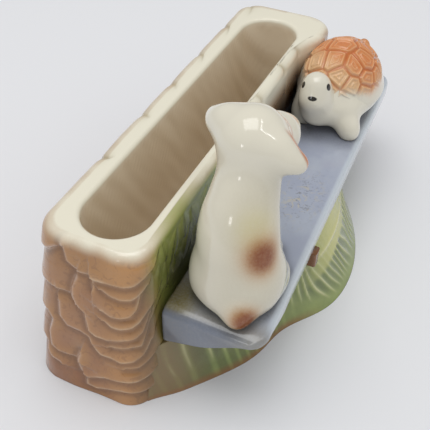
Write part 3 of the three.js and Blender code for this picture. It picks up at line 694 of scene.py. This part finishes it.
class POSY_OT_wall(bpy.types.Operator):
    """Build the hollow stone wall with its round-ended mouth"""
    bl_idname = "posy.wall"
    bl_label = "Stone wall"

    def execute(self, context):
        sizes, paint = context.scene.vase_sizes, context.scene.vase_colours
        # Outside: level rings up to the rim's rounding, then a quarter turn inwards
        rounding = sizes.rim_rounding / MM
        straight_top = RIM_HEIGHT - rounding
        body_z = np.linspace(0, straight_top, WALL_ROWS)[:, None]
        turn = np.linspace(0, math.pi / 2, 10)[1:, None]
        z = np.concatenate([body_z, straight_top + rounding * np.sin(turn)])
        inset = np.concatenate([0 * body_z, rounding * (1 - np.cos(turn))])
        x, y = wall_ring(z, inset + WALL_INSET)
        run, half_run = wall_runs()
        run, height = np.broadcast_to(run[None, :], x.shape), z + 0 * x

        # Each point moves out along its ring's normal by the stones' ledges, the ivy, which
        # lies from run 25 to 100, and the nicks in the rim; the far front is nearly smooth
        stones = ledges(run.ravel(), height.ravel(), NEAR_RIDGES + course_ridges(half_run))
        relief, pale, dark, lip = (mask.reshape(x.shape) for mask in stones)
        leaves, leaf_edge, leaf_rib = ivy(run, height)
        leafy = ramp(run, 25, 32) * fall(run, 84, 100) * ramp(height, 36, 41)
        far_front = ramp(run, 84, 104) * fall(run, 176, 186)
        stone = relief * (1 - 0.95 * far_front) + 0.35 * ripple(run, height * 1.3, 3)
        swell = sizes.stone_relief / MM * stone * (1 - 0.75 * leafy)
        swell = swell + sizes.leaf_relief / MM * (0.55 * leaves - 0.5) * leafy
        nick = nicks(run) * ramp(height, RIM_HEIGHT - 12 + 7 * far_front, RIM_HEIGHT - 2)
        under_rim = fall(height, RIM_HEIGHT - 6, RIM_HEIGHT)
        swell = np.clip(swell, -2.8, 0.85) * (0.12 + 0.88 * under_rim) - 0.9 * nick
        along_x, along_y = (np.roll(side, -1, 1) - np.roll(side, 1, 1) for side in (x, y))
        stretch = np.hypot(along_x, along_y)
        outside = np.stack([x + swell * along_y / stretch, y - swell * along_x / stretch, height], -1)

        # Inside: a quarter turn over the lip, the drafted wall and a rounded floor
        lip_turn = np.linspace(0, math.pi / 2, 6)[:, None]
        lip_z = RIM_HEIGHT - MOUTH_ROLL * (1 - np.cos(lip_turn))
        down = np.linspace(0, 1, 30)[1:, None]
        floor_turn = np.linspace(0, math.pi / 2, 5)[1:, None]
        in_z = np.concatenate([
            lip_z, lip_z[-1] + (TROUGH_FLOOR + FLOOR_ROLL - lip_z[-1]) * down,
            TROUGH_FLOOR + FLOOR_ROLL * (1 - np.sin(floor_turn))])
        mouth_x, mouth_y = mouth_ring(np.concatenate([
            MOUTH_ROLL * (1 - np.sin(lip_turn)), -TROUGH_DRAFT * down,
            -TROUGH_DRAFT - FLOOR_ROLL * (1 - np.cos(floor_turn))]))
        inner = np.stack([mouth_x, mouth_y, in_z + 0 * mouth_x], -1)

        # Rim: straight lines across from the outside to the lip, notched at the joints
        across = np.linspace(0, 1, 7)[1:-1, None]
        rim = outside[-1:] + (inner[:1] - outside[-1:]) * across[..., None]
        rim_nick = nick[-1:] * np.clip(1 - across / 0.6, 0, 1)
        rim[..., 2] = RIM_HEIGHT - 0.5 * rim_nick

        # Paint, by run round the wall and height: cream from the rim down, ivy green behind the
        # dog with painted shade low down by the dog, painted shade behind the tortoise, stone browns
        # elsewhere
        blanks = [np.zeros(part.shape[:2]) for part in (outside, rim, inner)]
        rows = lambda *parts: np.concatenate([part + blank for part, blank in zip(parts, blanks)])
        on_stone = lambda mask: rows(mask, 0, 0)
        pale = pale * (0.35 + 0.65 * ramp(ripple(run * 1.6, height * 1.9, 5), -0.3, 0.3))
        fade = height + 0.6 * ripple(run * 1.6, height * 0, 8) - 0.8 * ramp(-run, 6, 24)
        on_front = ramp(run, 60, 95) * fall(run, 178, 190)
        cream = ramp(fade, RIM_HEIGHT - 4.2, RIM_HEIGHT + 0.8) ** 1.3
        cream = np.maximum(cream, on_front * ramp(height, 54, 65))
        green = ramp(run - 6 * fall(height, 30, 58), 19, 33) * fall(run, 176, 186) * fall(run, 84, 112)
        shade = green * fall(height, 44, 66) * ramp(run, 30, 44)
        bright = green * bell(run - 46, 16)
        at_rim = ramp(height, 65, RIM_HEIGHT)
        patchy = 0.7 + 0.6 * ripple(run[-1:] * 1.8, across * 9, 51)
        rim_green = np.clip(0.65 * patchy * bright[-1:] * fall(across, 0, 0.4), 0, 1)
        # tone: random ochre patches, plus ochre rising from run 2 to 14 as painted light on the near end's
        # right part
        tone = np.maximum(ramp(ripple(run * 0.9, height * 1.5, 31), -0.1, 0.45), 0.9 * ramp(run, 2, 14))
        cool = fall(run, -6, 4)
        inside = rows(0, 0, ramp(RIM_HEIGHT - in_z, 0.8, 2.4))
        slant = mouth_x + 0.62 * in_z
        drips = 0.5 + ripple(slant * 3.6, in_z * 0.35, 21) + 0.7 * ripple(slant * 7, in_z * 0.3, 22)
        masks = {
            "ridge": on_stone(pale * (1 - leafy) * (1 - cream) * (1 - cool)),
            "cool_ridge": on_stone(pale * (1 - cream) * cool),
            # joint: painted shade under each stone's lip
            "joint": on_stone(dark * (1 - leafy)),
            # lip: paler lower lips of the stones, plus a bell at run 16 that is painted light on the near
            # end's right part
            "lip": on_stone(np.maximum(lip, 0.95 * bell(run - 16, 9)) * (1 - leafy)),
            "foot": on_stone(fall(height, 4, 40)),
            "crest": on_stone(ramp(height, 46, 64)),
            "green": rows(green * (1 - 0.75 * at_rim) + 0.6 * bright * at_rim, rim_green, 0),
            "tone": on_stone(tone * (1 - cream)),
            "grit": on_stone((1 - cream) * (1 - green)),
            "shade": on_stone(np.clip(shade + green * leaf_rib * leafy * 0.6, 0, 1)),
            "leaf_edge": on_stone(leaf_edge * leafy * green),
            "corner": on_stone(ramp(run, 15, 26) * fall(run, 34, 46) * fall(height, 55, 64)),
            # Painted shade on the far front behind the tortoise, full below 47 mm
            "smoke": on_stone(on_front * ramp(run, 90, 114) * fall(height, 47, 63.5)),
            "cream": rows(cream * (1 - np.maximum(green * (1 - at_rim), 0.8 * bright)), 1 - rim_green, 1),
            "nick": rows(nick, rim_nick, 0),
            "inside": inside,
            "streak": np.clip(rows(0, 0, drips), 0, 1) * inside,
        }
        # Slip-cast earthenware, painted with airbrushed brown and green under a clear gloss
        # glaze: soft-edged colour, pale worn ridges, dark grit, painted light on the near end by the front
        # corner, and painted shade under the stones' lips, behind the dog and behind the tortoise
        material = glazed("stone_wall_glazed_earthenware", paint.stone_brown, [
            ("foot", paint.stone_red, 0.85), ("tone", paint.stone_ochre, 0.5),
            ("crest", paint.stone_ochre, 0.6), ("lip", paint.stone_lip, 0.55),
            ("joint", paint.lip_shade_and_grit, 0.6), ("grit", paint.lip_shade_and_grit, 0.3, 3.0),
            ("ridge", paint.ridge_pale, 0.65), ("cool_ridge", paint.ridge_cool, 0.6),
            ("green", paint.leaf_green, 0.9), ("shade", paint.leaf_dark, 0.85),
            ("corner", paint.leaf_dark, 0.42), ("leaf_edge", paint.bank_cream, 0.15),
            ("smoke", paint.smoke, 0.95), ("cream", paint.rim_cream, 1.0),
            ("nick", paint.nick_olive, 0.65), ("inside", paint.trough_taupe, 1.0),
            ("streak", paint.trough_streak, 0.4),
        ], (paint.stone_red, 9, 0.4), 0.2, 0.03, 0.4)
        points = np.concatenate([outside, rim, inner])
        make_piece("stone_wall", points, material, ["wall_trough"], masks)
        return {"FINISHED"}


def under_seat(y):
    """Height of the seat's underside, which slopes up from the wall to the front edge."""
    slant = (BENCH_WALL_THICKNESS - BENCH_EDGE_THICKNESS) / BENCH_NEAR_DEPTH
    return BENCH_TOP - BENCH_WALL_THICKNESS + slant * (WALL_FRONT_NEAR_Y - y)


class POSY_OT_bench(bpy.types.Operator):
    """Build the garden seat and its post"""
    bl_idname = "posy.bench"
    bl_label = "Garden bench"

    def execute(self, context):
        sizes, paint = context.scene.vase_sizes, context.scene.vase_colours
        # Seat: a section carried along x. It runs over the top from the wall to the front, round
        # two quarter turns, and back under; it shrinks over a quarter circle at each end
        rounding = sizes.seat_rounding / MM
        near, far = BENCH_NEAR_X, BENCH_NEAR_X + BENCH_LENGTH
        turn = np.linspace(0, math.pi / 2, 7)
        x = np.concatenate([
            near + BENCH_NEAR_ROLL * (1 - np.cos(turn)),
            np.linspace(near + BENCH_NEAR_ROLL, near + 9, 14)[1:],
            np.linspace(near + 9, far - 9, 180)[1:-1],
            np.linspace(far - 9, far - rounding, 14)[:-1],
            far - rounding * (1 - np.cos(turn))[::-1]])[:, None]
        from_end = np.minimum(x - near, far - x)
        roll = lambda reach: 1 - np.sqrt(1 - np.clip(1 - from_end / reach, 0, 1) ** 2)
        inset = rounding * roll(np.where(x < 0, 3.0, rounding)) * np.where(x < 0, 0.7, 1.0)
        drop = np.where(x < 0, BENCH_NEAR_DROP * roll(BENCH_NEAR_ROLL), inset)
        share = (x - near) / BENCH_LENGTH
        depth = BENCH_NEAR_DEPTH + share * (BENCH_FAR_DEPTH - BENCH_NEAR_DEPTH)
        front = front_line(x) - depth + np.maximum(BENCH_CORNER * roll(BENCH_CORNER), inset)
        back = wall_front(x) - SEAM
        top = BENCH_TOP - drop
        upturn = BENCH_NEAR_UPTURN * fall(x, near + 4, near + 22)
        under = lambda y: under_seat(y) + inset + upturn * ramp(-y, 32, 50)
        rounding = np.minimum(rounding, 0.48 * (top - under(front)))
        arc = np.linspace(0, math.pi / 2, 6)[None, :]
        run_out = np.linspace(0, 1, 50)[None, :]
        top_y = back + (front + rounding - back) * run_out
        under_y = front + rounding + (back - front - rounding) * run_out
        y = np.concatenate([
            top_y, front + rounding * (1 - np.sin(arc)), front + rounding * (1 - np.cos(arc)), under_y], 1)
        z = np.concatenate([
            top + 0 * top_y, top - rounding * (1 - np.cos(arc)),
            under(front) + rounding * (1 - np.sin(arc)), under(under_y)], 1)

        # Paint: olive by the wall and at the near end, pale along the front edge, scuffed between
        # the figures, and painted shadow where they meet the seat, along the wall and under the tortoise's
        # chest
        on_top = np.stack([x + 0 * y, y, 0 * y + BENCH_TOP + 1.5], -1)
        by_dog = bell(np.maximum(dog_distance(on_top), 0), 1.8)
        by_tortoise = bell(np.maximum(trunk_distance(on_top + (0, 0, 5.5)), 0), 6.0)
        by_wall = bell(back - y, 5) * fall(x, -40, -20) * ramp(x, near, near + 8)
        # Painted shade under the tortoise's chest, by the wall
        smoke = bell(x - 41, 9) * ramp(y, -42, -27)
        masks = {
            "edge": ramp(-y, -(front + rounding * 1.2), -(front + rounding * 0.3)) * ramp(x, -71, -60),
            "olive": np.maximum(ramp(y, back - 20, back - 3) * fall(x, near + 8, near + 38),
                                0.6 * fall(x, near + 2, near + 13)),
            "face": fall(x, near + 0.8, near + 3.2) * fall(-y, 40, 54),
            "scuff": bell(x + 2, 13) * bell(y + 42, 7),
            "shadow": np.max([smoke, 0.58 * by_wall, 0.8 * by_dog, 0.7 * by_tortoise], 0),
        }
        # Blue-grey underglaze sprayed thinly over cream clay: the clay shows pale at the edge
        material = glazed("blue_grey_glazed_earthenware", paint.bench_blue, [
            ("olive", paint.bench_olive, 0.95), ("face", paint.bench_face, 0.85),
            ("scuff", paint.bench_scuff, 0.9, 3.5), ("scuff", paint.bench_mark, 0.6, 2.2),
            ("shadow", paint.bench_shadow, 0.7), ("edge", paint.bench_edge, 0.9),
        ], (paint.bench_edge, 16, 0.35))
        points = np.stack([x + 0 * y, y, z], -1)
        make_piece("garden_seat", points, material, ["bench_seat"], masks)

        # Post: rings of a rounded square, cos and sin to the power 0.35, waisted by a sine
        low, high = (np.array(corner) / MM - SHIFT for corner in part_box("bench_leg"))
        middle, half = (low + high) / 2, (high - low) / 2
        turn = np.linspace(0, 2 * math.pi, 48, endpoint=False)[None, :]
        square = lambda wave: np.sign(wave) * np.abs(wave) ** 0.35
        rise = np.linspace(0, 1, 14)[:, None]
        post_x = middle[0] + half[0] * (0.95 - 0.08 * np.sin(rise * math.pi)) * square(np.cos(turn))
        post_y = middle[1] - 0.8 + half[1] * 0.9 * square(np.sin(turn)) + 0 * rise
        post_z = low[2] + 5 + (high[2] - low[2] - 6.5) * rise + 0 * post_x
        # Brown underglaze, cloudy where it was brushed on, under the same clear glaze
        brown = glazed("brown_glazed_earthenware", paint.post_brown, [], (paint.bank_brown, 4, 0.5))
        points = np.stack([post_x, post_y, post_z], -1)
        make_piece("bench_post", points, brown, ["bench_leg"])
        return {"FINISHED"}


BANK_PEAK_X, BANK_REACH = 3.0, 87.0
BANK_DEPTH, BANK_DRAW_IN, BANK_END_DRAW_IN = 46.3, 12.0, 7.0
BANK_NOTCH_X, BANK_NOTCH_DEPTH, BANK_NOTCH_WIDTH = -33.0, 6.0, 14.0
BANK_BITE = 2.5


class POSY_OT_bank(bpy.types.Operator):
    """Build the grassy bank under the bench"""
    bl_idname = "posy.bank"
    bl_label = "Grassy bank"

    def execute(self, context):
        sizes, paint = context.scene.vase_sizes, context.scene.vase_colours
        # A cosine lobe along the wall that draws in as it rises to the seat, with a notch
        height = BENCH_TOP - BENCH_EDGE_THICKNESS
        share = -np.cos(np.linspace(0.02, math.pi - 0.02, 520))[:, None]
        rise = np.linspace(0, 1, 90)[None, :]
        x = BANK_PEAK_X + (BANK_REACH - BANK_END_DRAW_IN * rise) * share
        lobe = (BANK_DEPTH - BANK_DRAW_IN * rise ** 0.8) * np.cos(math.pi / 2 * share)
        notch = BANK_NOTCH_DEPTH * bell(x - BANK_NOTCH_X, BANK_NOTCH_WIDTH) * (1 - rise)
        wall_y = front_line(x) + BANK_BITE
        y = front_line(x) - np.maximum(lobe - notch, 0) + 1.8 * fall(lobe, 0, 8)
        under = lambda y: np.minimum(under_seat(y), height) - SEAM
        z = under(y) * rise

        # Blades: ridges where a slanting, wandering sine crosses zero, upright at the near end;
        # a broad leaf with a midrib lies over them under the seat's edge
        lean = ramp(x, -30, -8)
        fan = (x + 0.5 * z * lean) / (4.6 - 0.8 * lean) + 0.3 * np.sin(x * 0.23) + 0.35 * ripple(x, z, 41)
        wave = np.abs(np.sin(math.pi * fan))
        leaf_low = 15.5 + 0.16 * (x - 4)
        leaf = ramp(z, leaf_low - 1, leaf_low + 2) * bell(x - 6, 22) * lean
        midrib = bell(z - leaf_low - 7 + 0.1 * (x - 4), 0.9) * leaf
        fade = ramp(lobe, 2, 7) * ramp(rise, 0.25 - 0.23 * lean, 0.5 - 0.3 * lean) * (1 - leaf)
        fade = fade * (0.65 + 0.5 * ripple(x * 1.5, z * 0.5, 42))
        proud = ((1 - wave) ** 1.4 - 1.05) * fade + (0.5 * midrib - 0.6) * leaf
        y = np.minimum(y - sizes.leaf_relief / MM * proud, wall_y)

        # Each section closes over the top and under the foot, back to the wall
        first, last = (np.s_[:, :1], np.s_[:, -1:])
        over_y = y[last] + (wall_y[last] - y[last]) * np.linspace(0, 1, 8)[None, 1:]
        foot_y = wall_y[first] + (y[first] - wall_y[first]) * np.linspace(0, 1, 6)[None, :-1]
        points = np.concatenate([
            np.stack([x[first] + 0 * foot_y, foot_y, 0 * foot_y], -1), np.stack([x, y, z], -1),
            np.stack([x[last] + 0 * over_y, over_y, under(over_y)], -1)], 1)[:, ::-1]
        pad = lambda mask: np.concatenate([
            mask[first] + 0 * foot_y, mask, mask[last] + 0 * over_y], 1)[:, ::-1]
        masks = {
            "blade": pad(bell(wave, 0.22 + 0.08 * lean) * fade),
            "valley": pad(ramp(wave, 0.4, 0.95) * fade),
            "leaf": pad(leaf),
            "midrib": pad(midrib),
            # near: painted shade between the blades on the bank's near end, under the seat
            "near": pad(fall(x, -45, -18) * ramp(wave, 0.15, 0.8)),
            "soil": pad(np.maximum(fall(z, 0, 4) * fall(x, -32, -14), 0.4 * fall(x, -80, -63))),
            "corner": pad(fall(x - 0.2 * z, -80, -60)),
        }
        # Green underglaze, thin on the raised blades and gathered between them
        material = glazed("grass_glazed_earthenware", paint.bank_green, [
            ("valley", paint.bank_shade, 0.9), ("near", paint.leaf_dark, 0.5),
            ("leaf", paint.bank_yellow, 0.8), ("midrib", paint.bank_cream, 0.8),
            ("corner", paint.bank_olive, 0.8), ("soil", paint.bank_brown, 0.8),
            ("blade", paint.bank_cream, 0.9),
        ], (paint.bank_shade, 8, 0.4))
        make_piece("grassy_bank", points, material, ["ground_bank"], masks)
        return {"FINISHED"}


# Middles of the dog's two sprayed patches and of the yellow tint
BACK_PATCH, TAIL_PATCH, BACK_TINT = (-61.4, -49.6, 65.9), (-70.4, -48, 44.4), (-60.3, -46.5, 75)


def at_seat(points):
    """Mask of the painted contact shade along the line where a figure meets the seat."""
    return fall(points[..., 2], BENCH_TOP + 0.1, BENCH_TOP + 0.9)


def dog_masks(points):
    """Paint masks of the dog: sprayed patches by distance from their middles, the ears' front
    edges and the brow by place from the middle of the head, and dabs for eyes and nose."""
    from_head = points - DOG_SEAT - HEAD_MIDDLE
    local = np.stack([from_head @ way for way in (HEAD_FORWARD, HEAD_LEFT, HEAD_UP)], -1)
    ahead, left, up = np.moveaxis(local, -1, 0)
    skull, muzzle = (clay_distance(forms, DOG_HEAD_FILLET, points) for forms in (DOG_SKULL, DOG_MUZZLE))
    brow = 0.5 * bell(skull - muzzle - 0.4, 0.7) * ramp(up, -6, -2)
    ear_edge = ramp(ahead, 1.6, 3.2) * ramp(np.abs(left), 8, 12) * ramp(up, -12, -9)
    dabs = [dab(local, place, size) for place, size in (
        ((21, -0.5, -5), 3), ((9.5, 5, 4), 1.7), ((9.5, -5, 4), 1.7))]
    return {
        "patch": np.maximum(sprayed(points, BACK_PATCH, 2, 3.6), sprayed(points, TAIL_PATCH, 1.8, 2.6)),
        "fringe": np.maximum(sprayed(points, BACK_PATCH, 2.5, 5), sprayed(points, TAIL_PATCH, 2.2, 3.6)),
        "contact": at_seat(points),
        # wash: painted shade below the head, weaker on the side towards the wall, which the light reaches
        # more
        "wash": fall(points[..., 2], 83, 95) * (1 - 0.8 * ramp(points[..., 1], -43, -32)),
        "tint": sprayed(points, BACK_TINT, 2, 5),
        "ear": np.maximum(brow, ear_edge),
        "face": np.max(dabs, 0),
    }


class POSY_OT_dog(bpy.types.Operator):
    """Build the seated dog: trunk with tail, and head with both ears"""
    bl_idname = "posy.dog"
    bl_label = "Dog"

    def execute(self, context):
        paint = context.scene.vase_colours
        neck = BENCH_TOP + DOG_NECK
        # Cream slip under a clear gloss glaze, with brown airbrushed patches, painted shade below the head
        # and a painted contact shade at the seat
        material = glazed("cream_dog_glazed_earthenware", paint.dog_cream, [
            ("wash", paint.dog_shade, 0.5), ("tint", paint.dog_yellow, 0.55),
            ("fringe", paint.dog_tan, 0.8), ("patch", paint.dog_brown, 0.95),
            ("ear", paint.ear_orange, 1.0), ("face", paint.face_black, 1.0), ("contact", paint.contact, 0.8),
        ], (paint.tortoise_cream, 14, 0.5), 0.12, 0.012)
        points, normals = clay_skin(dog_distance, dog_axis, BENCH_TOP, neck, 150, 240, dome=False)
        make_piece("dog_trunk", points, material, ["dog_body", "dog_tail"],
                   dog_masks(points), normals)
        points, normals, crown = domed_skin(dog_distance, dog_axis, neck, neck, 170, 340)
        make_piece("dog_face_and_ears", points, material,
                   ["dog_head", "dog_ear_left", "dog_ear_right"], dog_masks(points), normals, crown)
        return {"FINISHED"}


# Middles of the plates, along, across and up from the middle of the shell
SCUTES = np.array([
    (0, 1.5, 18.2), (-10.6, 1.1, 16), (-10.1, 9, 13.2), (-9.3, -7.6, 14.5), (-2.6, -10.6, 14.7),
    (-15.7, -3.9, 12.1), (-15.5, -9.4, 9), (-7.9, -13.9, 9.3), (-11.1, -14.4, 5), (-1, -16.5, 6.2),
    (-7.8, 15.3, 6.1), (-17, 6, 8), (-20, 0, 6), (-13, 13, 3), (10, 3, 16), (8, -8.5, 15), (1, 11, 14.5),
    (12, 11, 10), (17, 0.5, 11.5), (15, -9, 9), (6.5, -15, 7), (3.5, 16, 6.5), (14, -12.6, 3.5), (19, 7, 5),
    (20.5, -5, 4.5), (-5, -17, 2), (-19, -7, 3),
])


def scute_borders(points):
    """Distance from each point to the border of its plate: plates are the points nearest to each
    middle, and the border with a neighbour is the plane halfway to it, made a little uneven."""
    centres = np.array(SHELL[0][:3]) + SCUTES
    flat = points.reshape(-1, 3)
    away = ((flat[:, None, :] - centres) ** 2).sum(-1)
    own = away.argmin(-1)
    between = np.linalg.norm(centres[own][:, None, :] - centres, axis=-1)
    bisector = (away - away.min(-1)[:, None]) / (2 * between + 1e-6)
    bisector[np.arange(len(flat)), own] = 1e3
    border = bisector.min(-1) + 0.25 * ripple(flat[:, 0] * 3, flat[:, 1] * 3, 12)
    return border.reshape(points.shape[:2])


class POSY_OT_tortoise(bpy.types.Operator):
    """Build the tortoise: shell, body with legs, head and tail"""
    bl_idname = "posy.tortoise"
    bl_label = "Tortoise"

    def execute(self, context):
        sizes, paint = context.scene.vase_sizes, context.scene.vase_colours
        # Shell: the dome's skin, lifted along its normals by two bells round each plate and sunk
        # by one at the border
        seat_x, seat_y, _ = TORTOISE_SEAT
        middle = upright(seat_x, seat_y)
        low = BENCH_TOP + SHELL_EDGE
        top = crown_of(shell_distance, middle, low)[0, 2]
        points, normals = clay_skin(shell_distance, middle, low, top, 170, 300, 40)
        border = scute_borders(points)
        outline = bell(border - 1.2, 0.45) + 0.7 * bell(border - 2.9, 0.4)
        groove = bell(border, 0.6)
        lift = sizes.scute_relief / MM * (outline - 0.5 * groove - 0.5)
        points = points + normals * (lift * ramp(points[..., 2], low + 5, low + 9))[..., None]
        crown = np.array([[seat_x, seat_y, points[-1, :, 2].mean()]])
        # The colour fades out lower down, and sooner towards the head
        level = points[..., 2] - low
        paler = ramp((seat_x - points[..., 0] + 0.5 * (points[..., 1] - seat_y)) / 22, 0, 0.6)
        faint = ramp(level - 3 * paler, 4.5, 9.5)
        masks = {
            "tan": faint, "orange": ramp(level - 11 * paler, 2, 16),
            "outline": np.clip(outline, 0, 1) * faint, "groove": groove * faint,
        }
        # Orange underglaze sprayed from above over cream, pale where the outlines stand up
        material = glazed("orange_shell_glazed_earthenware", paint.tortoise_cream, [
            ("tan", paint.shell_tan, 0.9), ("orange", paint.shell_orange, 0.95),
            ("outline", paint.shell_ridge, 0.5), ("groove", paint.shell_groove, 0.75),
        ], (paint.tortoise_cream, 12, 0.2), 0.14)
        make_piece("tortoise_shell_scutes", points, material, ["tortoise_shell"],
                   masks, apex=crown)

        # Cream slip under a clear gloss glaze, with black eyes and mouth, and a painted contact shade at the
        # seat
        skin = glazed("cream_tortoise_glazed_earthenware", paint.tortoise_cream, [
            ("face", paint.face_black, 1.0), ("contact", paint.contact, 0.8),
        ], (paint.rim_cream, 14, 0.4), 0.12, 0.012)
        points, normals, crown = domed_skin(skirt_distance, middle, BENCH_TOP, BENCH_TOP, 130, 340)
        make_piece("tortoise_trunk", points, skin, ["tortoise_body"],
                   {"contact": at_seat(points)}, normals, crown)

        head_x, head_y, head_z, *_ = TORTOISE_HEAD[0]
        points, normals, crown = domed_skin(
            face_distance, upright(head_x, head_y), BENCH_TOP + 6, head_z, 170, 260, 11.5)
        dabs = [dab(points, place, size) for place, size in (
            ((42.3, -35.9, 62.8), (1.4, 1.4, 1.5)), ((39.8, -25.2, 62.6), (1.4, 1.4, 1.5)),
            ((36.2, -31.0, 59.4), (1.9, 1.9, 0.9)))]
        make_piece("tortoise_face", points, skin, ["tortoise_head"],
                   {"face": np.max(dabs, 0)}, normals, crown)

        tail_x, tail_y, *_ = np.mean(TORTOISE_TAIL, 0)
        points, normals, crown = domed_skin(
            tail_distance, upright(tail_x, tail_y), BENCH_TOP + SEAM, TORTOISE_TAIL[0][2], 60, 90, 20)
        make_piece("tortoise_tail_tip", points, material, ["tortoise_tail"],
                   {"tan": 1.0, "orange": 0.7, "outline": 0.0, "groove": 0.0}, normals, crown)
        return {"FINISHED"}


# Camera of the photograph, from the middle of the mouth in millimetres and degrees
CAMERA_SPOT = (-211.0, -102.1, 228.0)
CAMERA_TURN, CAMERA_PITCH, CAMERA_ROLL = -65.25, 42.48, 0.51
CAMERA_LENS = 62.30
# Strength of the room's light, and of the room as the glaze mirrors it
ROOM_LIGHT, ROOM_GLOSS = 0.71, 0.3


class POSY_OT_stage(bpy.types.Operator):
    """Set the camera, the studio floor and the soft lights"""
    bl_idname = "posy.stage"
    bl_label = "Studio"

    def execute(self, context):
        scene, paint = context.scene, context.scene.vase_colours
        scene.view_settings.view_transform = "Standard"
        turn, pitch, roll = (math.radians(a) for a in (CAMERA_TURN, CAMERA_PITCH, CAMERA_ROLL))
        back = Vector((math.sin(turn) * math.cos(pitch), -math.cos(turn) * math.cos(pitch), math.sin(pitch)))
        level = Vector((math.cos(turn), math.sin(turn), 0))
        above = back.cross(level)
        right = level * math.cos(roll) + above * math.sin(roll)
        above = back.cross(right)
        lens = bpy.data.cameras.new("studio_camera")
        lens.lens, lens.sensor_width = CAMERA_LENS, 36.0
        camera = bpy.data.objects.new("studio_camera", lens)
        spot = Vector((np.array(CAMERA_SPOT) + SHIFT) * MM)
        camera.matrix_world = Matrix.Translation(spot) @ Matrix((right, above, back)).transposed().to_4x4()
        scene.collection.objects.link(camera)
        scene.camera = camera

        floor_mesh = bpy.data.meshes.new("studio_floor")
        reach = 3.0
        corners = [(-reach, -reach, 0), (reach, -reach, 0), (reach, reach, 0), (-reach, reach, 0)]
        floor_mesh.from_pydata(corners, [], [(0, 1, 2, 3)])
        floor = bpy.data.objects.new("studio_floor", floor_mesh)
        scene.collection.objects.link(floor)
        # Matt pale paper
        paper = bpy.data.materials.new("studio_paper")
        paper.use_nodes = True
        shader = paper.node_tree.nodes["Principled BSDF"]
        shader.inputs["Base Color"].default_value = tuple(paint.floor_grey)
        shader.inputs["Roughness"].default_value = 0.9
        shader.inputs["Specular IOR Level"].default_value = 0.1
        floor_mesh.materials.append(paper)

        world = bpy.data.worlds.new("studio_light")
        world.use_nodes = True
        room = world.node_tree
        room.nodes["Background"].inputs["Color"].default_value = (1, 1, 1, 1)
        rays = add_node(room, "ShaderNodeLightPath")
        dimmed = add_node(room, "ShaderNodeMapRange", {
            "Value": rays.outputs["Is Glossy Ray"], "To Min": ROOM_LIGHT, "To Max": ROOM_GLOSS})
        room.links.new(dimmed.outputs[0], room.nodes["Background"].inputs["Strength"])
        scene.world = world
        # A broad softbox overhead with a bright edge, and a small one low at the dog's back
        for name, place, size, power in (
            ("top_softbox", (-0.09, 0.08, 1.0), (0.62, 0.62), 2.95),
            ("top_edge", (0.10, -0.33, 1.0), (0.03, 0.62), 0.55),
            ("low_softbox", (-1.05, 0.16, 0.36), (0.12, 0.16), 0.3),
        ):
            lamp = bpy.data.lights.new(name, "AREA")
            lamp.shape, lamp.energy = "RECTANGLE", power
            lamp.size, lamp.size_y = size
            light = bpy.data.objects.new(name, lamp)
            light.location = place
            if name == "low_softbox":
                aim = Vector((0, 0, 0.06)) - Vector(place)
                light.rotation_euler = aim.to_track_quat("-Z", "Y").to_euler()
            else:
                light.rotation_euler = (0, 0, turn)
            scene.collection.objects.link(light)
        return {"FINISHED"}


STEPS = (POSY_OT_stage, POSY_OT_wall, POSY_OT_bench, POSY_OT_bank, POSY_OT_dog, POSY_OT_tortoise)


class POSY_PT_panel(bpy.types.Panel):
    """Lists the pieces of the vase"""
    bl_idname = "POSY_PT_panel"
    bl_label = "Posy Vase"
    bl_space_type = "VIEW_3D"
    bl_region_type = "UI"
    bl_category = "Posy Vase"

    def draw(self, context):
        for step in STEPS:
            self.layout.operator(step.bl_idname)
        for group in (context.scene.vase_sizes, context.scene.vase_colours):
            for prop in group.bl_rna.properties.keys()[1:]:
                self.layout.prop(group, prop)


CLASSES = (VaseSizes, VaseColours, *STEPS, POSY_PT_panel)


def register():
    """Registers the classes and hangs the settings on the scene."""
    for cls in CLASSES:
        bpy.utils.register_class(cls)
    bpy.types.Scene.vase_sizes = bpy.props.PointerProperty(type=VaseSizes)
    bpy.types.Scene.vase_colours = bpy.props.PointerProperty(type=VaseColours)


def unregister():
    """Takes the settings and the classes away again."""
    del bpy.types.Scene.vase_colours
    del bpy.types.Scene.vase_sizes
    for cls in reversed(CLASSES):
        bpy.utils.unregister_class(cls)


def main():
    register()
    bpy.ops.posy.stage()
    bpy.ops.posy.wall()
    bpy.ops.posy.bench()
    bpy.ops.posy.bank()
    bpy.ops.posy.dog()
    bpy.ops.posy.tortoise()


if __name__ == "__main__":
    main()
